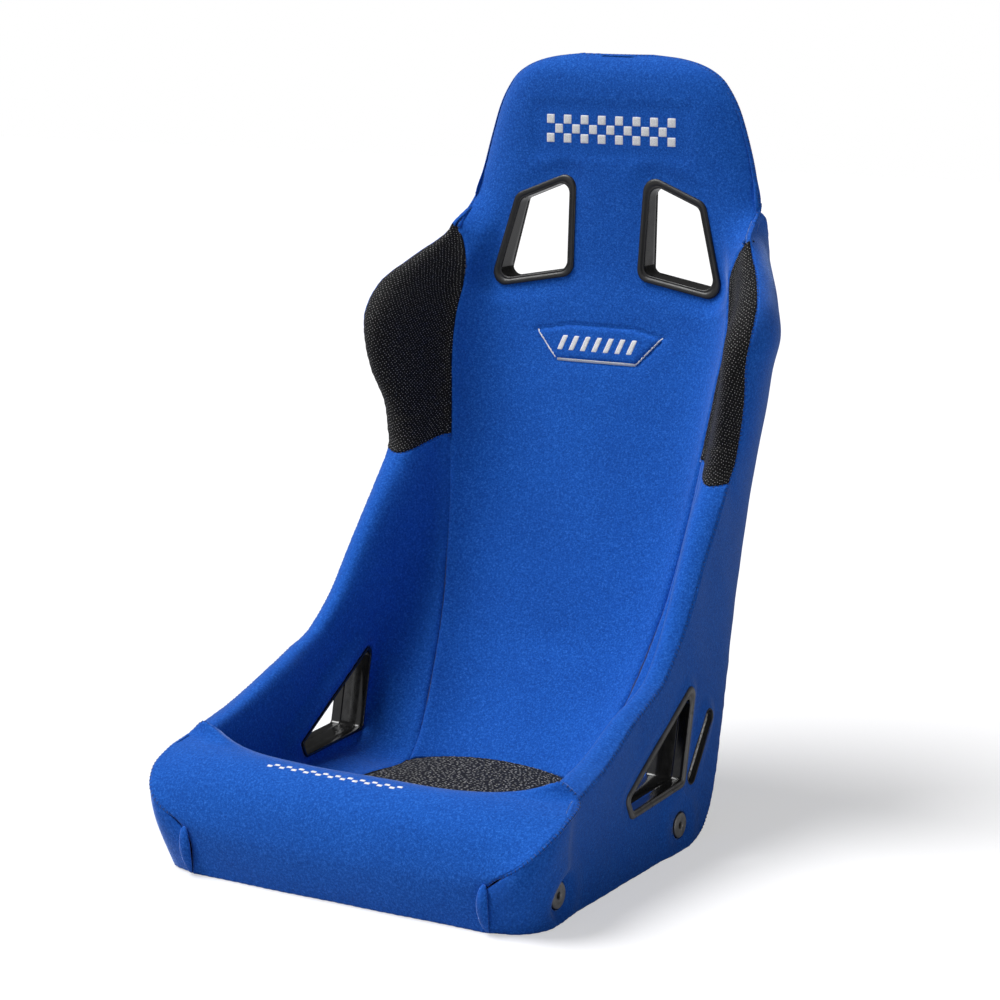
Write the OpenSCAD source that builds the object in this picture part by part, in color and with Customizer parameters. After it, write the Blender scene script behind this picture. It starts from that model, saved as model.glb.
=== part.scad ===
// Fixed-back bucket seat for motorsport: bent tube frame, moulded foam, sewn covers.
// Origin: centre of the footprint on the floor. +Z is up, the sitter faces -Y, so left is +X.

/* [Overall size] */
// Overall width across the shoulder wings
seat_w = 560; // [470:2:680]
// Overall depth from the front roll to the back of the head
seat_d = 682; // [570:2:820]
// Overall height
seat_h = 912; // [760:2:1100]

/* [Soft parts] */
// Thickness of a cover: knitted fabric with its foam scrim
cover_t = 3; // [2:0.5:5]
// Thickness of the pad of the back over the straps
back_foam_t = 28; // [20:1:36]
// Thickness of the pad of the cushion over the straps
cushion_foam_t = 26; // [18:1:32]
// Room left round a frame tube inside the moulded foam
foam_gap = 0.6; // [0.3:0.1:1.5]

/* [Frame] */
// Outer diameter of the frame tubes
tube_d = 22; // [18:0.5:26]
// Wall of the frame tubes
tube_wall = 2; // [1.5:0.1:3]
// Height of the side rails' centreline above the floor
rail_z = 34; // [28:1:42]
// Width of a webbing strap
strap_w = 50; // [30:1:60]
// Thickness of a webbing strap
strap_t = 2; // [1:0.2:3]
// Straps across the back
back_straps_n = 5; // [3:1:5]
// Straps under the cushion
seat_straps_n = 4; // [2:1:5]
// Wire of the strap hooks
hook_wire = 3; // [2:0.5:4]

/* [Side mounts] */
// Distance between the two side bolts
bolt_spacing = 290; // [250:1:300]
// Height of the side bolts above the floor
bolt_z = 32; // [30:0.5:38]
// Rear bolt, measured from the origin
bolt_rear_y = 27; // [10:1:60]
// Thread diameter of the side bolts
thread_d = 8; // [6:1:10]
// Outer diameter of a threaded boss
boss_d = 20; // [16:0.5:24]
// Diameter of the flange on a boss
boss_flange_d = 30; // [26:0.5:36]
// Thickness of that flange
boss_flange_t = 3; // [2:0.5:4]
// Length of a boss, thread included
boss_l = 15; // [12:0.5:20]
// Thickness of the side plates
plate_t = 3; // [2:0.5:5]
// Height of the side plates
plate_h = 48; // [40:1:56]

/* [Belt openings] */
// Width of a bezel's flange
flange_w = 9.5; // [6:0.5:12]
// Thickness of a bezel's flange
flange_t = 2.5; // [1.5:0.5:4]
// Wall of a bezel's sleeve
sleeve_t = 2.5; // [1.5:0.5:3.5]
// How much wider the rear bezels of the shoulder belt openings are than the front ones, all round
rear_grow = 10; // [0:1:16]
// Corner radius of a shoulder opening
harness_r = 12; // [6:1:16]
// Corner radius of a lap belt opening
lap_r = 6; // [4:1:9]
// Width of the slot behind the lap belt opening
slot_w = 17; // [12:1:20]
// Length of that slot
slot_l = 92; // [70:1:100]

/* [Hidden] */

// Size at which the outlines below are drawn, and the scale from there to the size set above.
drawn = [560, 682, 912];
k = [seat_w / drawn[0], seat_d / drawn[1], seat_h / drawn[2]];
function at(p) = [p[0] * k[0], p[1] * k[1], p[2] * k[2]];

// The bolster wall, from the front corner to its tip beside the head. Each row is one section through it:
// its crest (the outer seam), its crease (against cushion or back), and its lower or rear outer edge.
wall = [for (s = [
  [[262, -247, 138], [160, -219,  66], [247, -234,   0]],
  [[258, -173, 157], [145, -142,  61], [247, -154,   0]],
  [[251,  -98, 186], [130,  -50,  60], [247,  -74,   0]],
  [[250,  -60, 200], [119,   11,  62], [247,  -20,   0]],
  [[248,  -20, 215], [125,   48,  97], [246,   55,   0]],
  [[246,   24, 252], [140,  104, 170], [243,   96,  10]],
  [[245,   57, 292], [150,  138, 228], [239,  128,  45]],
  [[243,   88, 333], [158,  159, 277], [233,  158, 105]],
  [[242,  121, 373], [166,  182, 345], [226,  188, 175]],
  [[241,  155, 418], [177,  203, 433], [218,  226, 270]],
  [[246,  163, 443], [180,  209, 458], [212,  255, 340]],
  [[252,  163, 479], [184,  216, 492], [209,  281, 410]],
  [[262,  150, 519], [188,  223, 528], [208,  303, 475]],
  [[267,  142, 561], [191,  233, 563], [207,  319, 530]],
  [[269,  150, 594], [191,  242, 592], [206,  330, 578]],
  [[263,  177, 626], [188,  251, 620], [205,  336, 618]],
  [[242,  220, 655], [187,  256, 650], [203,  338, 655]],
  [[218,  255, 680], [195,  262, 677], [200,  338, 690]],
  [[210,  266, 697], [204,  264, 691], [202,  330, 712]]
]) [at(s[0]), at(s[1]), at(s[2])]];
insert_from = 9;                 // first section of the black shoulder insert
back_from = 3;                   // first section where the crease lies against the back
last = len(wall) - 1;

// Middle of the seat's front face: y at each height.
spine = [for (p = [[45, 60], [78, 100], [113, 150], [150, 216], [184, 293], [213, 370], [237, 445],
                   [264, 538], [279, 600], [288, 650], [292, 700], [296, 770], [296, 850],
                   [299, 885], [306, 902], [314, 911]]) [p[0] * k[1], p[1] * k[2]]];
// Edge of the head above the wall's tip: half width, y and height.
head_edge = [for (p = [[203, 308, 728], [194, 316, 765], [184, 318, 803], [171, 318, 843], [158, 318, 868],
                       [143, 318, 886], [120, 318, 899], [90, 318, 907], [50, 318, 911.5]]) at(p)];
// Middle of the rear face: y at each height.
rear_spine = [for (p = [[56, 0], [100, 10], [133, 45], [174, 105], [207, 175], [243, 270], [268, 340], [289, 410],
                        [307, 475], [322, 530], [333, 578], [339, 618], [341, 655], [341, 690], [341, 820],
                        [337, 865], [330, 895], [322, 911.5]]) [p[0] * k[1], p[1] * k[2]]];
// Profile of the front roll at its middle, from the cushion over the top to the floor: y and height.
roll = [for (p = [[-223, 63], [-236, 103], [-262, 128], [-288, 135], [-314, 124], [-333, 98], [-341, 60],
                  [-338, 25], [-331, 0]]) [p[0] * k[1], p[1] * k[2]]];
// Its right-hand end, where it meets the wall, the side cover's seam and the dart in the corner.
roll_end = [for (p = [[160, -223, 66], [205, -233, 128], [235, -248, 155], [262, -247, 138], [268, -280, 127],
                      [264, -314, 112], [243, -339, 88], [198, -340, 53], [197, -331, 0]]) at(p)];

// Walls of soft tissue: exponents of the front face's plan curve at the foot and at the head.
plan_low = 3;
plan_high = 8;

// --- small functions
function lerp(a, b, t) = a + (b - a) * t;
function unit(v) = v / max(norm(v), 1e-9);
function bezier(p, t) = let(s = 1 - t) s*s*s*p[0] + 3*s*s*t*p[1] + 3*s*t*t*p[2] + t*t*t*p[3];
function mirrored(p) = [-p[0], p[1], p[2]];
// y of a [y, z] outline at height z
function y_at(line, z, i = 0) =
  i >= len(line) - 2 || z <= line[i + 1][1]
    ? lerp(line[i][0], line[i + 1][0], (z - line[i][1]) / (line[i + 1][1] - line[i][1]))
    : y_at(line, z, i + 1);
function side_normal(a, b, c) = unit(cross(b - a, c - a));

// Inner face of a wall section: out from the crease, up, and over a round top to the crest.
roll_over = 80;
roll_rise = 45;
function fat(i) = min(1, (last - i) / 4);
function inner(i, t) =
  let(e = wall[i][0], a = wall[i][1], up = unit([0, e[1] - a[1], e[2] - a[2]]),
      deep = i < back_from + 2 ? 1.1 : lerp(1.1, 0.35, min(1, (i - back_from - 1) / 4)))
  bezier([a, a + [deep * (e[0] - a[0]), 0, 0],
          e + fat(i) * (roll_rise * up - [lerp(roll_over, 45, min(1, i / 9)), 0, 0]), e], t);
// Outer face of a wall section: from the crest to the lower or rear edge.
function outer(i, t) =
  let(e = wall[i][0], r = wall[i][2], wing = max(0, 1 - abs(i - 14) / 4), rear = min(1, max(0, (i - 6) / 6)))
  bezier([e, e + [lerp(-3, 38, wing), lerp(0.15, 0.3, wing) * (r[1] - e[1]), 0.3 * (r[2] - e[2])],
          r + [lerp(-4, 34, rear) * fat(i), -lerp(0, 0.3, rear) * (r[1] - e[1]), -lerp(0.35, 0.2, rear) * (r[2] - e[2])], r], t);

inner_steps = 6;
outer_steps = 5;
function inner_grid(from, to) = [for (i = [from : to]) [for (j = [0 : inner_steps]) inner(i, j / inner_steps)]];
function outer_grid(from, to) = [for (i = [from : to]) [for (j = [0 : outer_steps]) outer(i, j / outer_steps)]];

// Front face of back and head: rows across at the heights of the wall's creases, then of the head's edge.
across = [-1, -0.95, -0.85, -0.5, 0, 0.5, 0.85, 0.95, 1];
front_edges = concat([for (i = [back_from : last]) wall[i][1]], head_edge);
function front_row(e) =
  let(middle = y_at(spine, e[2]), power = lerp(plan_low, plan_high, min(1, e[2] / (600 * k[2]))))
  [for (u = across) [u * e[0], lerp(middle, e[1], pow(abs(u), power)), e[2]]];
front_grid = [for (e = front_edges) front_row(e)];

// Rear face, rows at the wall's rear edges, then at the head's edge.
rear_from = 4;
rear_edges = concat([for (i = [rear_from : last]) wall[i][2]], head_edge);
function rear_row(e) = [for (u = across) [u * e[0], lerp(y_at(rear_spine, e[2]), e[1], pow(abs(u), 6)), e[2]]];
rear_grid = [for (e = rear_edges) rear_row(e)];

// Front roll: its middle profile blended into its two ends.
roll_across = [-1, -0.85, -0.6, -0.3, 0, 0.3, 0.6, 0.85, 1];
function roll_point(j, u) =
  let(m = [0, roll[j][0], roll[j][1]], e = roll_end[j], w = pow(abs(u), 4))
  [u * e[0], lerp(m[1], e[1], w), lerp(m[2], e[2], w)];
roll_grid = [for (j = [0 : len(roll) - 1]) [for (u = roll_across) roll_point(j, u)]];

// Cushion: rows across from the roll to the back, crowned.
cushion_crown = 8;
cushion_across = [-1, -0.9, -0.5, 0, 0.5, 0.9, 1];
cushion_rows = [for (i = [0 : back_from]) wall[i][1]];
cushion_grid = [for (e = cushion_rows) [for (u = cushion_across)
  [u * e[0], lerp(e[1] + (e[1] > 0 ? 32 * k[1] : 0), e[1], u * u), e[2] + cushion_crown * (1 - pow(abs(u), 4))]]];

function grounded(p) = [p[0], p[1], max(0, p[2])];
// The grid moved inwards by depth along its normals; side is -1 where rows cross columns point inwards.
function sunk(grid, depth, side) =
  let(m = len(grid), n = len(grid[0]))
  [for (r = [0 : m - 1]) [for (c = [0 : n - 1]) grounded(grid[r][c] - depth * side *
    unit(cross(grid[min(r + 1, m - 1)][c] - grid[max(r - 1, 0)][c],
               grid[r][min(c + 1, n - 1)] - grid[r][max(c - 1, 0)])))]];
// A closed panel between two depths under a grid.
module panel(grid, from, to, side = 1) {
  m = len(grid);
  n = len(grid[0]);
  points = [for (depth = [from, to]) each [for (row = sunk(grid, depth, side)) each row]];
  under = m * n;
  skin = [for (r = [0 : m - 2]) for (c = [0 : n - 2]) let(a = r * n + c, b = a + under) each [
    [a, a + 1, a + n + 1], [a, a + n + 1, a + n], [b, b + n + 1, b + 1], [b, b + n, b + n + 1]]];
  ends = [for (c = [0 : n - 2]) let(a = c, b = a + under, z = (m - 1) * n + c, y = z + under) each [
    [a + 1, a, b], [a + 1, b, b + 1], [z, z + 1, y + 1], [z, y + 1, y]]];
  sides = [for (r = [0 : m - 2]) let(a = r * n, b = a + under, z = a + n - 1, y = z + under) each [
    [a, a + n, b + n], [a, b + n, b], [z + n, z, y], [z + n, y, y + n]]];
  faces = concat(skin, ends, sides);
  polyhedron(points, side > 0 ? faces : [for (f = faces) [f[2], f[1], f[0]]]);
}

// A closed solid through sections that have the same number of points, listed anticlockwise seen from the far end.
module loft(sections) {
  m = len(sections);
  n = len(sections[0]);
  points = [for (s = sections) each s];
  walls = [for (r = [0 : m - 2]) for (c = [0 : n - 1]) let(d = (c + 1) % n) each [
    [r * n + c, (r + 1) * n + c, r * n + d], [r * n + d, (r + 1) * n + c, (r + 1) * n + d]]];
  caps = [for (c = [1 : n - 2]) each [[0, c, c + 1], [(m - 1) * n, (m - 1) * n + c + 1, (m - 1) * n + c]]];
  polyhedron(points, concat(walls, caps));
}

// Ring of points round a path's point, square to the path.
tube_sides = 12;
function tangent(path, i) = unit(path[min(i + 1, len(path) - 1)] - path[max(i - 1, 0)]);
function ring(path, i, r) =
  let(t = tangent(path, i), x = unit(cross(t, [0.31, 0.2, 0.93])), y = cross(t, x))
  [for (s = [0 : tube_sides - 1]) path[i] + r * (cos(360 * s / tube_sides) * x + sin(360 * s / tube_sides) * y)];
// A bar of round section along a path.
module rod(path, r) {
  loft([for (i = [0 : len(path) - 1]) ring(path, i, r)]);
}
// A tube along a path, open at both ends.
module tube(path, r, wall_t) {
  m = len(path);
  n = tube_sides;
  points = [for (rr = [r, r - wall_t]) for (i = [0 : m - 1]) each ring(path, i, rr)];
  walls = [for (i = [0 : m - 2]) for (s = [0 : n - 1])
    let(a = i * n + s, b = i * n + (s + 1) % n, u = m * n) each [
      [a, b + n, b], [a, a + n, b + n], [a + u, b + u, b + n + u], [a + u, b + n + u, a + n + u]]];
  lips = [for (s = [0 : n - 1])
    let(a = s, b = (s + 1) % n, u = m * n, z = (m - 1) * n) each [
      [a, b, b + u], [a, b + u, a + u], [a + z, b + u + z, b + z], [a + z, a + u + z, b + u + z]]];
  polyhedron(points, concat(walls, lips));
}

// --- frame
tube_r = tube_d / 2;
// Centre of the hoop inside wall section i: in from the outer face, down from the crest.
hoop_in = cover_t + tube_r + 6;
hoop_down = 34;
function hoop_at(i) =
  let(e = wall[i][0], a = wall[i][1], up = unit([0, e[1] - a[1], e[2] - a[2]])) e - [hoop_in, 0, 0] - hoop_down * up;
side_x = wall[3][2][0];          // outer face of the side at the bolts
plate_x = side_x - boss_l;       // inner face of the side plate, against the rail
rail_x = plate_x - tube_r;
hoop_foot = [rail_x, -278 * k[1], rail_z + tube_r];
head_inset = tube_r + cover_t + 18;
head_shift = 0.5 * k[1];        // the hoop lies just behind the middle of the head
hoop_half = concat(
  [hoop_foot, hoop_foot + [3, 12, 24]],
  [for (i = [0 : 2 : 8]) hoop_at(i)], [for (i = [9 : 14]) hoop_at(i)],
  [for (p = [[222, 246, 628], [203, 284, 660], [186, 305, 698]]) at(p)],
  [for (i = [1 : 2 : 7]) head_edge[i] - [head_inset * 0.9, -head_shift, head_inset * i / 8]],
  [[48 * k[0], head_edge[7][1] + head_shift, head_edge[7][2] - head_inset]]
);
hoop_path = concat(hoop_half, [for (i = [len(hoop_half) - 1 : -1 : 0]) mirrored(hoop_half[i])]);
rail_path = concat(
  [[rail_x, -300 * k[1], rail_z], [rail_x, 62 * k[1], rail_z]],
  [for (p = [[216, 100, 48], [206, 128, 85], [202, 175, 165], [194, 216, 265], [188, 247, 350],
             [183, 278, 440], [182, 303, 530], [180, 319, 594]]) at(p)]
);

module frame_tube(path) {
  color([0.16, 0.16, 0.17]) tube(path, tube_r, tube_wall);
}
// Straight tube across the seat at y and z, ending on whatever lies at half width x.
module cross_tube(half, y, z) {
  color([0.16, 0.16, 0.17]) translate([-half, y, z]) rotate([0, 90, 0]) difference() {
    cylinder(h = 2 * half, d = tube_d, $fn = 48);
    translate([0, 0, -1]) cylinder(h = 2 * half + 2, d = tube_d - 2 * tube_wall, $fn = 48);
  }
}
front_tube_y = -289 * k[1];
rear_tube = [76 * k[1], rail_z];
function upright(z) =   // point of the upright part of the rail at height z
  let(i = max([for (j = [1 : len(rail_path) - 2]) if (rail_path[j][2] <= z) j]))
  lerp(rail_path[i], rail_path[i + 1], (z - rail_path[i][2]) / (rail_path[i + 1][2] - rail_path[i][2]));
lumbar_z = 200 * k[2];
shoulder_z = 584 * k[2];
module frame_hoop() { frame_tube(hoop_path); }
module side_rail_left() { frame_tube(rail_path); }
module side_rail_right() { mirror([1, 0, 0]) side_rail_left(); }
module front_cross_tube() { cross_tube(rail_x - tube_r, front_tube_y, rail_z); }
module rear_cross_tube() { cross_tube(rail_x - tube_r, rear_tube[0], rear_tube[1]); }
module lumbar_cross_tube() { cross_tube(upright(lumbar_z)[0] - tube_r, upright(lumbar_z)[1], lumbar_z); }
module shoulder_cross_tube() { cross_tube(upright(shoulder_z)[0] - tube_r, upright(shoulder_z)[1], shoulder_z); }

// Side plate with the holes that the bosses are welded into.
plate_reach = 35;
bolt_ys = [bolt_rear_y - bolt_spacing, bolt_rear_y];
module bar_x(y, z, from, to, d) {
  translate([from, y, z]) rotate([0, 90, 0]) cylinder(h = to - from, d = d, $fn = 64);
}
module side_plate_left() {
  color([0.2, 0.2, 0.21]) difference() {
    translate([plate_x, bolt_ys[0] - plate_reach, 8]) cube([plate_t, bolt_spacing + 2 * plate_reach, plate_h]);
    for (y = bolt_ys) bar_x(y, bolt_z, plate_x - 1, plate_x + plate_t + 1, boss_d);
  }
}
module side_plate_right() { mirror([1, 0, 0]) side_plate_left(); }
// Turned boss with a flange outside, threaded right through.
module mount_bosses_left() {
  color([0.45, 0.45, 0.44]) for (y = bolt_ys) difference() {
    union() {
      bar_x(y, bolt_z, plate_x, side_x, boss_d);
      bar_x(y, bolt_z, side_x - boss_flange_t, side_x, boss_flange_d);
    }
    bar_x(y, bolt_z, plate_x - 1, side_x + 1, thread_d);
  }
}
module mount_bosses_right() { mirror([1, 0, 0]) mount_bosses_left(); }

// --- straps and hooks
strap_gap = 0.5;
hook_l = 9;
pad_depth = cover_t + back_foam_t;
function lean(z) = atan2(y_at(spine, z + 5) - y_at(spine, z - 5), 10);
function strap_z(n) = lerp(150 * k[2], 520 * k[2], back_straps_n == 1 ? 0.5 : n / (back_straps_n - 1));
function strap_y(z) = y_at(spine, z) + pad_depth * cos(lean(z)) + strap_gap;
function strap_low(z) = z - pad_depth * sin(lean(z));
function strap_half(z) = upright(z)[0] - tube_r - hook_l;
module back_straps() {
  color([0.08, 0.08, 0.08]) for (n = [0 : back_straps_n - 1]) let(z = strap_z(n), half = strap_half(strap_low(z)))
    translate([-half, strap_y(z), strap_low(z)]) rotate([-lean(z), 0, 0])
      translate([0, 0, -strap_w / 2]) cube([2 * half, strap_t, strap_w]);
}
seat_strap_z = wall[2][1][2] - cover_t - cushion_foam_t - strap_t - 1;
seat_strap_half = rail_x - tube_r - hook_l;
function seat_strap_y(n) = lerp(-190 * k[1], -20 * k[1], seat_straps_n == 1 ? 0.5 : n / (seat_straps_n - 1));
module seat_straps() {
  color([0.08, 0.08, 0.08]) for (n = [0 : seat_straps_n - 1])
    translate([-seat_strap_half, seat_strap_y(n) - strap_w / 2 + 5, seat_strap_z])
      cube([2 * seat_strap_half, strap_w - 10, strap_t]);
}
// Wire hooks from each strap's end to the tube beside it.
module hook(p, q) {
  rod([p, p + unit(q - p) * (norm(q - p) - tube_r)], hook_wire / 2);
}
module strap_hooks() {
  color([0.7, 0.7, 0.7]) for (side = [0, 1]) mirror([side, 0, 0]) {
    for (n = [0 : back_straps_n - 1]) let(z = strap_low(strap_z(n)), u = upright(z))
      hook([strap_half(z), strap_y(strap_z(n)) + strap_t / 2, z], [u[0], u[1], z]);
    for (n = [0 : seat_straps_n - 1])
      hook([seat_strap_half, seat_strap_y(n), seat_strap_z + strap_t / 2], [rail_x, seat_strap_y(n), rail_z]);
  }
}

// --- belt openings, as outlines of their flanges
harness_out = [for (p = [[48, 768], [134, 734], [168, 613], [45, 635]]) [p[0] * k[0], p[1] * k[2]]];
lap_out = [for (p = [[-111.6, 100], [-97, 71], [36, 77], [66, 206]]) [p[0] * k[1], p[1] * k[2]]];
harness_z = 690 * k[2];
harness_y = y_at(spine, harness_z);
harness_lean = lean(harness_z) + 2;
harness_rear_y = y_at(rear_spine, harness_z);
inner_wall_x = side_x - 47;
slot_mid = [84 * k[1], 113 * k[2]];
slot_tilt = 54;
module rounded(points, r, grow = 0) {
  offset(r = r, $fn = 24) offset(delta = grow - r) polygon(points);
}
module opening(points, r, grow = 0) { rounded(points, r, grow - flange_w); }
// Runs a flat shape drawn in x and z along y, or in y and z along x.
module along_y(from, to) {
  translate([0, to, 0]) rotate([90, 0, 0]) linear_extrude(to - from) children();
}
module along_x(from, to) {
  translate([from, 0, 0]) rotate([90, 0, 90]) linear_extrude(to - from) children();
}
harness_half = (harness_rear_y - harness_y) / 2;
module harness_cut() {
  for (side = [0, 1]) mirror([side, 0, 0]) {
    along_y(harness_y - 60, harness_rear_y + 30) opening(harness_out, harness_r, sleeve_t + foam_gap);
    along_y(harness_rear_y - harness_half + 4 - foam_gap, harness_rear_y + 30)
      opening(harness_out, harness_r, rear_grow + sleeve_t + foam_gap);
  }
}
module lap_cut() {
  along_x(side_x - 75, side_x + 20) opening(lap_out, lap_r, sleeve_t + foam_gap);
}
module slot_shape(grow) {
  translate(slot_mid) rotate(slot_tilt) hull() for (s = [-1, 1])
    translate([s * (slot_l - slot_w) / 2, 0]) circle(d = slot_w + 2 * grow, $fn = 24);
}
module slot_cut() { along_x(side_x - 45, side_x + 20) slot_shape(1.5 + foam_gap); }

module bezel_colour() { color([0.1, 0.1, 0.1]) children(); }
// Flange outline with the opening taken out, and the sleeve's ring.
module flange(points, r, grow = 0) {
  difference() {
    rounded(points, r + flange_w / 2, grow);
    opening(points, r, grow);
  }
}
module sleeve(points, r, grow = 0) {
  difference() {
    opening(points, r, sleeve_t + grow);
    opening(points, r, grow);
  }
}
module harness_bezel_front_left() {
  bezel_colour() {
    depth = harness_half - 2;
    translate([0, harness_y, harness_z]) rotate([-harness_lean, 0, 0]) translate([0, 0, -harness_z]) {
      along_y(-flange_t + 0.5, 0.5) flange(harness_out, harness_r);
      along_y(0.5, depth) sleeve(harness_out, harness_r);
    }
  }
}
module harness_bezel_front_right() { mirror([1, 0, 0]) harness_bezel_front_left(); }
module harness_bezel_rear_left() {
  bezel_colour() {
    depth = harness_half - 4;
    along_y(harness_rear_y - flange_t, harness_rear_y) flange(harness_out, harness_r, rear_grow);
    along_y(harness_rear_y - depth, harness_rear_y - flange_t) sleeve(harness_out, harness_r, rear_grow);
    // A ledge closes the step to the front bezel's sleeve.
    along_y(harness_rear_y - depth, harness_rear_y - depth + sleeve_t) difference() {
      opening(harness_out, harness_r, rear_grow + sleeve_t);
      opening(harness_out, harness_r);
    }
  }
}
module harness_bezel_rear_right() { mirror([1, 0, 0]) harness_bezel_rear_left(); }
lap_split = side_x - 15;
module lap_bezel_outer_left() {
  bezel_colour() {
    along_x(side_x - 1, side_x - 1 + flange_t) flange(lap_out, lap_r);
    along_x(lap_split + 0.5, side_x - 1) sleeve(lap_out, lap_r);
  }
}
module lap_bezel_outer_right() { mirror([1, 0, 0]) lap_bezel_outer_left(); }
module lap_bezel_inner_left() {
  bezel_colour() along_x(inner_wall_x, lap_split) sleeve(lap_out, lap_r);
}
module lap_bezel_inner_right() { mirror([1, 0, 0]) lap_bezel_inner_left(); }
module slot_liner_left() {
  bezel_colour() along_x(side_x - 26, side_x - 1) difference() { slot_shape(1.5); slot_shape(0); }
}
module slot_liner_right() { mirror([1, 0, 0]) slot_liner_left(); }

// --- foam
foam_colour = [0.75, 0.72, 0.62];
module frame_channel() {
  rod(hoop_path, tube_r + foam_gap);
  bar_x(front_tube_y, rail_z, -rail_x, rail_x, tube_d + 2 * foam_gap);
  for (side = [0, 1]) mirror([side, 0, 0]) rod(rail_path, tube_r + foam_gap);
}
split_row = 14 - back_from;      // row of the front face where the head's foam begins
function rows(grid, from, to) = [for (i = [from : to]) grid[i]];
pad_trim = 1;                    // columns left off each side of the pads, clear of the bolsters
function columns(grid, trim) = [for (row = grid) [for (c = [trim : len(row) - 1 - trim]) row[c]]];
module back_foam() {
  color(foam_colour) panel(columns(rows(front_grid, 0, split_row), pad_trim), cover_t + 0.3, pad_depth, -1);
}
module head_foam() {
  color(foam_colour) difference() {
    panel(columns(rows(front_grid, split_row, len(front_grid) - 2), pad_trim), cover_t + 0.5, pad_depth, -1);
    panel(rear_grid, -60, cover_t + 0.5);
    harness_cut();
    frame_channel();
  }
}
// Section of the bolster's foam, the covers' thickness inside its faces.
function foam_section(i) = concat([for (j = [outer_steps : -1 : 1]) outer(i, j / outer_steps)],
                                  [for (j = [inner_steps : -1 : 0]) inner(i, j / inner_steps)]);
// Closed sections moved inwards by d, with mitred corners.
function inset(grid, d) =
  let(m = len(grid), n = len(grid[0]))
  [for (r = [0 : m - 1]) [for (c = [0 : n - 1])
    let(p = grid[r][c], along = grid[min(r + 1, m - 1)][c] - grid[max(r - 1, 0)][c],
        a = unit(cross(along, grid[r][(c + n - 1) % n] - p)), b = unit(cross(along, p - grid[r][(c + 1) % n])))
    p + d * (a + b) / max(0.3, 1 + a * b)]];
module bolster_foam_left() {
  color(foam_colour) difference() {
    loft(inset([for (i = [0 : last - 1]) foam_section(i)], cover_t + 0.3));
    frame_channel();
    lap_cut();
    slot_cut();
    translate([plate_x - 1, bolt_ys[0] - plate_reach - 1, 7])
      cube([plate_t + 2, bolt_spacing + 2 * plate_reach + 2, plate_h + 2]);
    for (y = bolt_ys) bar_x(y, bolt_z, plate_x, side_x + 5, boss_flange_d + 2);
  }
}
module bolster_foam_right() { mirror([1, 0, 0]) bolster_foam_left(); }
roll_inside = sunk(roll_grid, cover_t + 0.3, 1);
roll_underside = [for (p = [[-225, 30], [-246, 10]]) [p[0] * k[1], p[1] * k[2]]];
module front_roll_foam() {
  color(foam_colour) difference() {
    loft([for (c = [0 : len(roll_across) - 1]) concat(
      [for (j = [len(roll) - 1 : -1 : 0]) let(p = roll_inside[j][c]) [p[0], p[1], max(p[2], cover_t + 0.3)]],
      [for (q = roll_underside) [0.98 * roll_inside[0][c][0], q[0], q[1]]])]);
    frame_channel();
  }
}
module cushion_foam() { color(foam_colour) panel(cushion_grid, cover_t, cover_t + cushion_foam_t, -1); }

// --- covers
blue = [0.05, 0.22, 0.65];
black = [0.06, 0.06, 0.07];
module front_cover() { color(blue) difference() { panel(front_grid, 0, cover_t, -1); harness_cut(); } }
module rear_cover() { color(blue) difference() { panel(rear_grid, 0, cover_t); harness_cut(); } }
module cushion_cover() { color(black) panel(cushion_grid, 0, cover_t, -1); }
module front_roll_cover() { color(blue) panel(roll_grid, 0, cover_t); }
module bolster_cover_left() {
  color(blue) difference() { panel(inner_grid(0, insert_from), 0, cover_t, -1); lap_cut(); }
}
module bolster_cover_right() { mirror([1, 0, 0]) bolster_cover_left(); }
module shoulder_insert_left() { color(black) panel(inner_grid(insert_from, last), 0, cover_t, -1); }
module shoulder_insert_right() { mirror([1, 0, 0]) shoulder_insert_left(); }
// The side cover starts at the dart in the front corner.
corner = [for (s = [[[198, -340, 53], [197, -331, 0]], [[243, -339, 88], [232, -319, 0]],
                    [[264, -314, 112], [246, -296, 0]], [[268, -280, 127], [249, -264, 0]]]) [at(s[0]), at(s[1])]];
side_grid = concat([for (s = corner) [for (j = [0 : outer_steps]) lerp(s[0], s[1], j / outer_steps)]],
                   outer_grid(0, last));
module side_cover_left() {
  color(blue) difference() {
    panel(side_grid, 0, cover_t, -1);
    lap_cut();
    slot_cut();
    for (y = bolt_ys) bar_x(y, bolt_z, plate_x, side_x + 5, boss_flange_d + 1);
  }
}
module side_cover_right() { mirror([1, 0, 0]) side_cover_left(); }
foot = concat([for (s = corner) s[1]], [for (i = [0 : rear_from]) wall[i][2]]);
module base_cloth() {
  color(black) linear_extrude(cover_t) offset(delta = -cover_t - 0.3)
    polygon(concat([for (p = foot) [p[0], p[1]]], [for (i = [len(foot) - 1 : -1 : 0]) [-foot[i][0], foot[i][1]]]));
}

frame_hoop();
side_rail_left();
side_rail_right();
front_cross_tube();
rear_cross_tube();
lumbar_cross_tube();
shoulder_cross_tube();
side_plate_left();
side_plate_right();
mount_bosses_left();
mount_bosses_right();
back_straps();
seat_straps();
strap_hooks();
back_foam();
head_foam();
bolster_foam_left();
bolster_foam_right();
front_roll_foam();
cushion_foam();
front_cover();
cushion_cover();
front_roll_cover();
rear_cover();
base_cloth();
bolster_cover_left();
bolster_cover_right();
shoulder_insert_left();
shoulder_insert_right();
side_cover_left();
side_cover_right();
harness_bezel_front_left();
harness_bezel_front_right();
harness_bezel_rear_left();
harness_bezel_rear_right();
lap_bezel_outer_left();
lap_bezel_outer_right();
lap_bezel_inner_left();
lap_bezel_inner_right();
slot_liner_left();
slot_liner_right();
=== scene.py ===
"""A fixed-back racing seat: sewn blue knit over foam, black shoulder and cushion fabric, moulded belt openings.

Shapes are worked out in millimetres, x to the sitter's left, y to the rear, z up, and become metres in the meshes.
"""
import math

import bmesh
import bpy
import numpy as np
from mathutils import Matrix, Vector
from mathutils.bvhtree import BVHTree


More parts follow.
